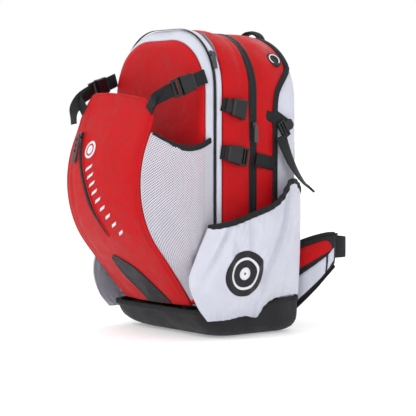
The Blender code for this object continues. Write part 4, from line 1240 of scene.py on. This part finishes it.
def flat_pad(name, centre_x, centre_z, half_x, half_z, near, far, corner, channels, node):
    """A padded panel on the bag's back: mesh face, soft edges and sewn cross channels."""
    across, up = 22, 30
    front, back = [], []
    for k in range(up + 1):
        b = -1 + 2 * k / up
        row_f, row_b = [], []
        for i in range(across + 1):
            a = -1 + 2 * i / across
            cut = max(0.0, (abs(b) * half_z - half_z + corner) / corner)  # 0 to 1 through the rounded corner
            round_x = half_x - corner * (1 - math.sqrt(max(0.0, 1 - cut**2)))
            x, z = centre_x + a * round_x, centre_z + b * half_z
            rim = ease((1 - abs(a)) / 0.30) * ease((1 - abs(b)) / (0.30 * half_x / half_z))
            dip = sum(0.0045 * bump(z, at, 0.009) for at in channels)
            y = blend(near + 0.0028, far, rim) - dip * rim + 0.0006 * rough((x, near, z), 30.0)
            row_f.append(Vector((x, y, z)))
            row_b.append(Vector((x, near, z)))
        front.append(row_f)
        back.append(row_b)
    obj = slab(front, back).build(name, LOOKS["foam"])
    box_cloth(obj)
    rounded(obj)
    put(obj, "back", "black_mesh_foam", node)
    tree = surface(obj)
    rim_line = [front[0][i] for i in range(0, across + 1)] + [row[-1] for row in front[1:]] + \
               [front[-1][i] for i in range(across - 1, -1, -1)] + [row[0] for row in reversed(front[:-1])]
    path = resample(rim_line, 120)[:-1]
    rings = tube(path, lambda ahead: (Y_AXIS, ahead.cross(Y_AXIS)), 0.0019, 0.0019, 8, wrap=True)
    piping = Shape().add(rings, wrap=True)
    put(piping.build(name + "_piping", LOOKS["binding"]), "back", "black_webbing")
    lines = [[Vector((centre_x + half_x * (-0.80 + 1.6 * k / 20), far + 0.01, at)) for k in range(21)]
             for at in channels]
    if lines:
        stitches(name + "_stitches", lines, tree, "back")


def make_back_pads():
    for side, sign in SIDES:
        flat_pad(f"back_pad_{side}_skin", sign * 0.053, 0.328, 0.034, 0.105, 0.0955, 0.1080, 0.016,
                 (0.275, 0.328, 0.381), f"back_pad_{side}")
    flat_pad("lumbar_pad_skin", 0.0, 0.134, 0.084, 0.064, 0.0960, 0.1130, 0.022, (0.134,), "lumbar_pad")


STRAP_LINE = ((0.044, 0.1130, 0.478), (0.047, 0.1165, 0.455), (0.052, 0.1225, 0.420), (0.057, 0.1255, 0.375),
              (0.063, 0.1255, 0.325), (0.070, 0.1225, 0.280), (0.076, 0.1190, 0.248))
STRAP_WIDTHS = ((0.0, 0.027), (0.333, 0.031), (0.667, 0.029), (1.0, 0.021))


def padded_ring(centre, side, up, half, thick):
    """A flattened ring: a crowned pad's cross section."""
    out = []
    for t in turns(24):
        c, s = math.cos(t), math.sin(t)
        a = math.copysign(abs(c) ** 0.75, c)
        b = math.copysign(abs(s) ** 0.62, s) * (1 - 0.42 * a**4)
        out.append(centre + side * half * a + up * thick * b)
    return out


def mirrored(rows, sign):
    return [flip(row, sign) for row in rows]


def make_shoulders():
    steps = 46
    line = spline(STRAP_LINE, steps + 1)
    for side, sign in SIDES:
        body = f"shoulder_{side}"
        rings = []
        for k, (p, ahead) in enumerate(headings(line)):
            t = k / steps
            across = square(X_AXIS, ahead)
            up = across.cross(ahead).normalized()
            if up.y < 0:
                up = -up
            end = math.sqrt(max(0.03, 1 - max(0.0, (abs(t - 0.5) - 0.465) / 0.035) ** 2))
            half = curve(STRAP_WIDTHS, t) * end
            swell = 1 + 0.07 * rough(p, 22.0, seed=2.0)
            rings.append(padded_ring(p, across, up, half - 0.0008, 0.0050 * (0.55 + 0.45 * end) * swell))
        obj = Shape().add(mirrored(rings, sign)).build(f"shoulder_strap_{side}_skin",
                                                       [LOOKS["foam"], LOOKS["red"]])
        box_cloth(obj)
        paint_faces(obj, lambda c, n: 1 if n.y > 0.15 else 0)
        rounded(obj)
        put(obj, body, "black_mesh_foam", f"shoulder_strap_{side}")
        tree = surface(obj)
        edges = Shape()
        for reach in (-1, 1):
            path = [line[k] + X_AXIS * (reach * (curve(STRAP_WIDTHS, k / steps) - 0.0006)) for k in range(2, 45)]
            edges.add(tube(flip(path, sign), lambda ahead: (X_AXIS, ahead.cross(X_AXIS)), 0.0026, 0.0042, 10))
        put(edges.build(f"shoulder_binding_{side}", LOOKS["binding"]), body, "black_webbing")
        # Webbing down the middle of the outer face, sewn down in steps
        laid = lay(tree, flip([p + Vector((0, 0.02, 0)) for p in line[2:45]], sign), 0.0009)[0]
        daisy = webbing(f"shoulder_webbing_{side}", body, laid, X_AXIS, CHEST_WEBBING, 0.0015, smooth=False)
        lines = []
        for k in range(4, 42, 6):
            p = line[k]
            lines.append([Vector((sign * (p.x + d), p.y + 0.02, p.z)) for d in (-0.008, 0.0, 0.008)])
        stitches(f"shoulder_stitches_{side}", lines, surface(daisy), body)
        # The webbing below each strap, down to its seam at the back panel
        down = ((0.076, 0.1215, 0.262), (0.0765, 0.1212, 0.246), (0.081, 0.1190, 0.232),
                (0.094, 0.1110, 0.210), (0.107, 0.1035, 0.192), (0.113, 0.0985, 0.184))
        obj = webbing(f"shoulder_lower_webbing_{side}", None, flip(down, sign), (1, 0, 0.25 * sign),
                      WEBBING - 0.005, 0.0017)
        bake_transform(obj)
        # Chest strap webbing
        chest = Shape()
        points = flip(((0.074, 0.1345, CHEST_Z), (0.058, 0.1350, CHEST_Z), (0.0405, 0.1362, CHEST_Z)), sign)
        strip(chest, points, Z_AXIS, CHEST_WEBBING, 0.0016)
        points = flip(((0.0745, 0.1340, CHEST_Z), (0.0745, 0.1290, CHEST_Z)), sign)
        strip(chest, points, Z_AXIS, CHEST_WEBBING, 0.0030, smooth=False)
        obj = chest.build(f"sternum_webbing_{side}_look", LOOKS["webbing"])
        put(obj, f"sternum_{side}", "black_webbing", f"sternum_webbing_{side}")
        lines = [[Vector((sign * x, 0.14, CHEST_Z + d)) for d in (-0.007, 0.0, 0.007)] for x in (0.066, 0.070)]
        stitches(f"sternum_stitches_{side}", lines, surface(obj), f"sternum_{side}")


WING_LINE = ((0.0955, 0.1075, 0.088), (0.1130, 0.1115, 0.096), (0.1310, 0.1220, 0.110), (0.1450, 0.1370, 0.124),
             (0.1535, 0.1540, 0.137), (0.1565, 0.1720, 0.146))
WING_HEIGHTS = ((0.0, 0.128), (0.2, 0.122), (0.4, 0.112), (0.6, 0.098), (0.8, 0.080), (1.0, 0.060))


def make_wings():
    count = 41
    line = spline(WING_LINE, count)

    outward = [Vector((ahead.y, -ahead.x, 0)).normalized() for _, ahead in headings(line)]

    def point(s, t, lift=0.02):
        """s from the bag to the tip, t from the lower edge to the upper one."""
        place = s * (count - 1)
        k = min(int(place), count - 2)
        p = line[k].lerp(line[k + 1], place - k)
        return p + Vector((0, 0, (t - 0.5) * curve(WING_HEIGHTS, s))) + outward[k] * lift

    for side, sign in SIDES:
        rings = []
        for k, p in enumerate(line):
            t = k / (count - 1)
            end = math.sqrt(max(0.05, 1 - max(0.0, (t - 0.93) / 0.07) ** 2))
            half = curve(WING_HEIGHTS, t) / 2 * (0.80 + 0.20 * end)
            thick = 0.0056 * (0.45 + 0.55 * end) * (1 + 0.08 * rough(p, 26.0))
            rings.append(padded_ring(p, Z_AXIS, outward[k], half - 0.0008, thick))
        obj = Shape().add(mirrored(rings, sign)).build(f"belt_wing_{side}_skin", [LOOKS["black"], LOOKS["foam"]])
        box_cloth(obj)
        inner = [(line[k], outward[k]) for k in range(0, count, 2)]

        def inside(centre, normal):
            there = Vector((sign * centre.x, centre.y, centre.z))
            out = min(inner, key=lambda pair: (pair[0] - there).xy.length)[1]
            return 1 if sign * normal.x * out.x + normal.y * out.y < -0.2 else 0

        paint_faces(obj, inside)
        rounded(obj)
        body = f"wing_{side}"
        put(obj, body, "black_cloth", f"belt_wing_{side}")
        tree = surface(obj)

        def overlay(name, look, slot, rows, thick):
            """Cloth sewn over the wing's outer face."""
            laid = [lay(tree, row, 0.0001)[0] for row in mirrored(rows, sign)]
            shape = Shape().add(laid, closed=False)
            put(print_on(shape, f"{name}_{side}", LOOKS[look], thick, (0, 0.06, 0.12)), body, slot)

        def band(s0, s1, low, high, columns=26):
            """Rows between two edges given as functions of s."""
            places = [blend(s0, s1, i / (columns - 1)) for i in range(columns)]
            return [[point(s, blend(low(s), high(s), j / 8)) for s in places] for j in range(9)]

        def red_top(s):
            return blend(0.60, 0.885, math.sqrt(max(0.0, 1 - max(0.0, (s - 0.74) / 0.15) ** 2)))

        def white_low(s):
            return blend(0.10, 0.22, ease((s - 0.825) / 0.12))

        def white_top(s):
            return blend(0.485, 0.60, (s - 0.825) / 0.12)

        overlay("wing_red", "red", "red_nylon", band(0.05, 0.885, lambda s: 0.565, red_top), 0.0016)
        overlay("wing_white", "white", "white_nylon",
                band(0.04, 0.795, lambda s: 0.075, lambda s: blend(0.440, 0.485, s)), 0.0012)
        overlay("wing_tip_white", "white", "white_nylon", band(0.825, 0.945, white_low, white_top, 8), 0.0012)
        rim = Shape()
        for height in (0.985, 0.015):
            path = flip([point(k / 40, height, 0.0) for k in range(40)], sign)
            rim.add(tube(path, lambda ahead: (Z_AXIS, ahead.cross(Z_AXIS).normalized()), 0.0030, 0.0050, 10))
        put(rim.build(f"wing_binding_{side}", LOOKS["binding"]), body, "black_webbing")
        seams = []
        for reach, low, high in (
                (0.85, 0.545, 0.545), (0.70, 0.915, 0.915), (0.85, 0.46, 0.505), (0.74, 0.055, 0.055)):
            places = [0.05 + reach * k / 40 for k in range(41)]
            seams.append(flip([point(s, blend(low, high, s)) for s in places], sign))
        stitches(f"wing_stitches_{side}", seams, tree, body)
        make_belt_end(side, sign)


def make_belt_end(side, sign):
    """The hip belt's webbing, from the wing's tip to its buckle."""
    path = ((0.1567, 0.166, 0.148), (0.1567, 0.175, BELT_Z), (0.1566, 0.191, BELT_Z),
            (0.1530, 0.201, BELT_Z), (0.143, 0.2065, BELT_Z), (0.1245, 0.208, BELT_Z))
    obj = webbing(f"belt_webbing_{side}_look", f"belt_end_{side}", flip(path, sign), Z_AXIS, 0.038, 0.0018,
                  f"belt_webbing_{side}")
    lines = [[Vector((sign * 0.17, y, BELT_Z + d)) for d in (-0.014, -0.007, 0.0, 0.007, 0.014)]
             for y in (0.1765, 0.1805)]
    stitches(f"belt_stitches_{side}", lines, surface(obj), f"belt_end_{side}")


# ---------------------------------------------------------------- webbing on the sides and front

CARRIER_START, CARRIER_AIM = Vector((0.1345, -0.113, 0.455)), Vector((0.1210, -0.198, 0.423))


def carrier_at(sign, u):
    along = (CARRIER_AIM - CARRIER_START).normalized()
    p = CARRIER_START + along * u
    return Vector((sign * p.x, p.y, p.z))


def folded_end(shape, tip, ahead, across, width):
    """The stitched double fold at the end of a webbing tail."""
    tip, ahead = Vector(tip), Vector(ahead).normalized()
    strip(shape, [tip - ahead * 0.011, tip - ahead * 0.005, tip], across, width + 0.0004, 0.0042, smooth=False)


def lower_z(y):
    """Height of the fastened lower strap, which falls a little towards the back."""
    return 0.325 - 0.188 * (y + 0.078)


def make_carrier_straps(side, sign):
    """From the lid's seam to the socket, then from the ladder down to the panel's corner, and a loose tail."""
    points = [carrier_at(sign, u) for u in (-0.003, 0.006, 0.0135, 0.0200)]
    obj = webbing(f"carrier_strap_{side}_look", "lid", points, Z_AXIS, WEBBING, 0.0022, f"carrier_strap_{side}")
    lines = [[carrier_at(sign, u) + Vector((sign * 0.02, 0, d)) for d in (-0.009, 0, 0.009)]
             for u in (0.004, 0.008)]
    stitches(f"carrier_strap_stitches_{side}", lines, surface(obj), "lid")
    points = [carrier_at(sign, 0.058), carrier_at(sign, 0.066)]
    points += flip(((0.1155, -0.2025, 0.4165), (0.1085, -0.2045, 0.4085), (0.098, -0.2040, 0.3960),
                    (0.090, -0.2035, 0.3870)), sign)
    turn = [(0, 0, 1), (-sign * 0.2, 0, 0.98), (-sign * 0.62, 0, 0.78), (-sign * 0.78, 0, 0.62)]
    obj = webbing(f"carrier_lower_strap_{side}", None, points, turn, WEBBING - 0.002, 0.0020)
    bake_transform(obj)
    if sign > 0:
        first = carrier_at(1, 0.064)
        path = [first] + [first + Vector(step) for step in (
            (-0.004, -0.012, -0.004), (-0.008, -0.026, -0.014), (-0.011, -0.036, -0.030))]
        turn = [(0, 0, 1), (0.35, 0, 0.94), (0.75, 0.2, 0.62)]
    else:
        path = [(-0.1248, -0.174, 0.434), (-0.1225, -0.197, 0.420), (-0.1185, -0.214, 0.398),
                (-0.1160, -0.2165, 0.374)]
        turn = [(0, 0, 1), (-0.5, 0, 0.86), (-0.95, 0.1, 0.3)]
    webbing(f"carrier_tail_{side}", f"carrier_buckle_{side}", path, turn, WEBBING - 0.003, 0.0018)


def make_upper_straps(side, sign):
    """Undone: the socket's tab at the front zip, and the plug's tab and loose tail at the binding."""
    points = flip(((0.1425, -0.080, 0.409), (0.1455, -0.073, 0.4065), (0.1480, -0.062, 0.404),
                   (0.1485, -0.055, 0.4025)), sign)
    webbing(f"upper_tab_{side}", f"upper_front_{side}", points, (0, -0.2, 0.98), SIDE_WEBBING, 0.0024)
    tip = (0.159, 0.113, 0.256)
    path = ((0.153, 0.045, 0.353), (0.1545, 0.051, 0.336), (0.1555, 0.062, 0.313), (0.1565, 0.077, 0.290),
            (0.1575, 0.094, 0.271), tip)
    turn = [(0, -0.8, -0.6), (sign * 0.28, -0.80, -0.52), (sign * 0.60, -0.72, -0.32), (sign * 0.79, -0.61, 0.0)]
    shape = Shape()
    strip(shape, flip(path, sign), turn, SIDE_WEBBING, 0.0017)
    folded_end(shape, flip([tip], sign)[0], (sign * 0.0015, 0.019, -0.015), turn[-1], SIDE_WEBBING)
    obj = shape.build(f"upper_tail_{side}_look", LOOKS["webbing"])
    put(obj, f"upper_rear_{side}", "black_webbing", f"upper_tail_{side}")
    points = flip(((0.1425, 0.030, 0.391), (0.1445, 0.044, 0.3835), (0.1475, 0.058, 0.374)), sign)
    webbing(f"upper_rear_tab_{side}", f"upper_rear_{side}", points, (0, 0.5, 0.86), SIDE_WEBBING, 0.0024)
    points = flip(((0.1425, 0.018, 0.3900), (0.1431, 0.030, 0.3865), (0.1432, 0.040, 0.3835)), sign)
    webbing(f"binding_tab_{side}", "back", points, (0, 0.2, 0.98), 0.0185, 0.0022)


def make_lower_straps(side, sign):
    """Fastened: from the front zip's seam to the binding."""
    across = (0, 0.185, 0.983)
    points = [(sign * x, y, lower_z(y)) for x, y in (
        (0.1425, 0.0415), (0.1435, 0.034), (0.1464, 0.018), (0.1476, -0.002), (0.1478, -0.0085))]
    obj = webbing(f"lower_strap_{side}_look", "back", points, across, SIDE_WEBBING, 0.0019, f"lower_strap_{side}")
    lines = [[Vector((sign * 0.17, y, lower_z(y) + d)) for d in (-0.009, -0.003, 0.003, 0.009)]
             for y in (0.036, 0.032)]
    stitches(f"lower_strap_stitches_{side}", lines, surface(obj), "back")
    points = flip(((0.1408, -0.0815, 0.3258), (0.1450, -0.0780, 0.3250), (0.1484, -0.0700, 0.3235)), sign)
    webbing(f"lower_tab_{side}", "front_half", points, across, SIDE_WEBBING, 0.0022)


def make_side_webbing():
    for side, sign in SIDES:
        make_carrier_straps(side, sign)
        make_upper_straps(side, sign)
        make_lower_straps(side, sign)


def make_divider():
    lo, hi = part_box("divider_wall")
    rows = []
    for k in range(25):
        row = []
        z = blend(lo.z + 0.001, hi.z - 0.001, k / 24)
        cut = max(0.0, (z - (hi.z - 0.10)) / 0.10)
        half = (hi.x - 0.001) * (1 - 0.45 * (1 - math.sqrt(max(0.0, 1 - cut**2))))
        for i in range(21):
            x = half * (-1 + i / 10)
            y = (lo.y + hi.y) / 2 + 0.0011 * rough((x, 0, z), 16.0, (1, 1, 0.6))
            row.append(Vector((x, y, z)))
        rows.append(row)
    obj = Shape().add(rows, closed=False).build("divider_look", LOOKS["lining"], centre=(0, 0.3, 0.3))
    thicken(obj, 0.0009, smooth=1, offset=0.0)
    put(obj, "front_half", "grey_lining", "divider_wall")


# ---------------------------------------------------------------- CAD nodes whose shape is kept

KEPT = (("socket", "plastic"), ("plug", "plastic"), ("frame_sheet", "sheet"), ("frame_hoop", "alloy"),
        ("slider", "slider"), ("pull", "puller"))


def finish_nodes():
    """Gives the hard CAD nodes their procedural looks and softens their edges."""
    for name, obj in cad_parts.items():
        for word, look in KEPT:
            if word in name:
                obj.data.materials.clear()
                obj.data.materials.append(LOOKS[look])
                modifier(obj, "WELD", merge_threshold=0.00002)
                modifier(obj, "BEVEL", width=0.0005, segments=2, limit_method="ANGLE",
                         angle_limit=math.radians(32))
                break


# ---------------------------------------------------------------- camera, light and floor

def make_studio():
    turn, tilt, target = math.radians(VIEW_TURN), math.radians(VIEW_TILT), Vector((0, 0, VIEW_HEIGHT))
    eye = target + VIEW_FAR * Vector((math.sin(turn) * math.cos(tilt), -math.cos(turn) * math.cos(tilt),
                                      math.sin(tilt)))
    data = bpy.data.cameras.new("camera")
    data.sensor_width = SENSOR
    data.lens = SENSOR / 2 / (VIEW_WIDTH / 2 / VIEW_FAR)
    camera = bpy.data.objects.new("camera", data)
    camera.location = eye
    camera.rotation_mode = "QUATERNION"
    camera.rotation_quaternion = (target - eye).to_track_quat("-Z", "Y")
    bpy.context.collection.objects.link(camera)
    bpy.context.scene.camera = camera

    world = bpy.data.worlds.new("studio")
    bpy.context.scene.world = world
    world.use_nodes = True
    sky = world.node_tree.nodes["Background"]
    sky.inputs["Color"].default_value = (1.0, 1.0, 1.0, 1.0)
    sky.inputs["Strength"].default_value = 1.0
    for name, place, size, power in (
        ("key", (0.3, -2.2, 2.3), 1.0, 24.0),
        ("side", (2.6, -0.3, 1.3), 1.6, 10.0),
        ("back", (-1.2, 2.2, 2.0), 1.6, 8.0),
    ):
        lamp = bpy.data.lights.new(name, "AREA")
        lamp.size = size
        lamp.energy = power
        obj = bpy.data.objects.new(name, lamp)
        obj.location = place
        obj.rotation_mode = "QUATERNION"
        obj.rotation_quaternion = (Vector((0, 0, 0.25)) - Vector(place)).to_track_quat("-Z", "Y")
        bpy.context.collection.objects.link(obj)

    rings = [[Vector((r * math.cos(t), r * math.sin(t), 0)) for t in turns(64)] for r in (0.02, 1.0, 4.0, 30.0)]
    obj = Shape().add(rings, caps="first").build("floor", floor_look())
    bpy.context.scene.view_settings.view_transform = "Standard"


def floor_look():
    g = Graph("floor_look", (0.86, 0.86, 0.865), 0.75)
    g.shades(0.985, 1.0, g.noise(6.0, 2.0))
    g.shader.inputs["Emission Color"].default_value = (1.0, 1.0, 1.0, 1.0)
    g.shader.inputs["Emission Strength"].default_value = 0.30
    return g.material


make_walls()
make_back()
make_base()
make_long_zips()
make_carrier_panel()
make_carrier_sides()
make_pockets()
make_binding()
make_port()
make_handle()
make_back_pads()
make_shoulders()
make_wings()
make_side_webbing()
make_divider()
finish_nodes()
make_studio()
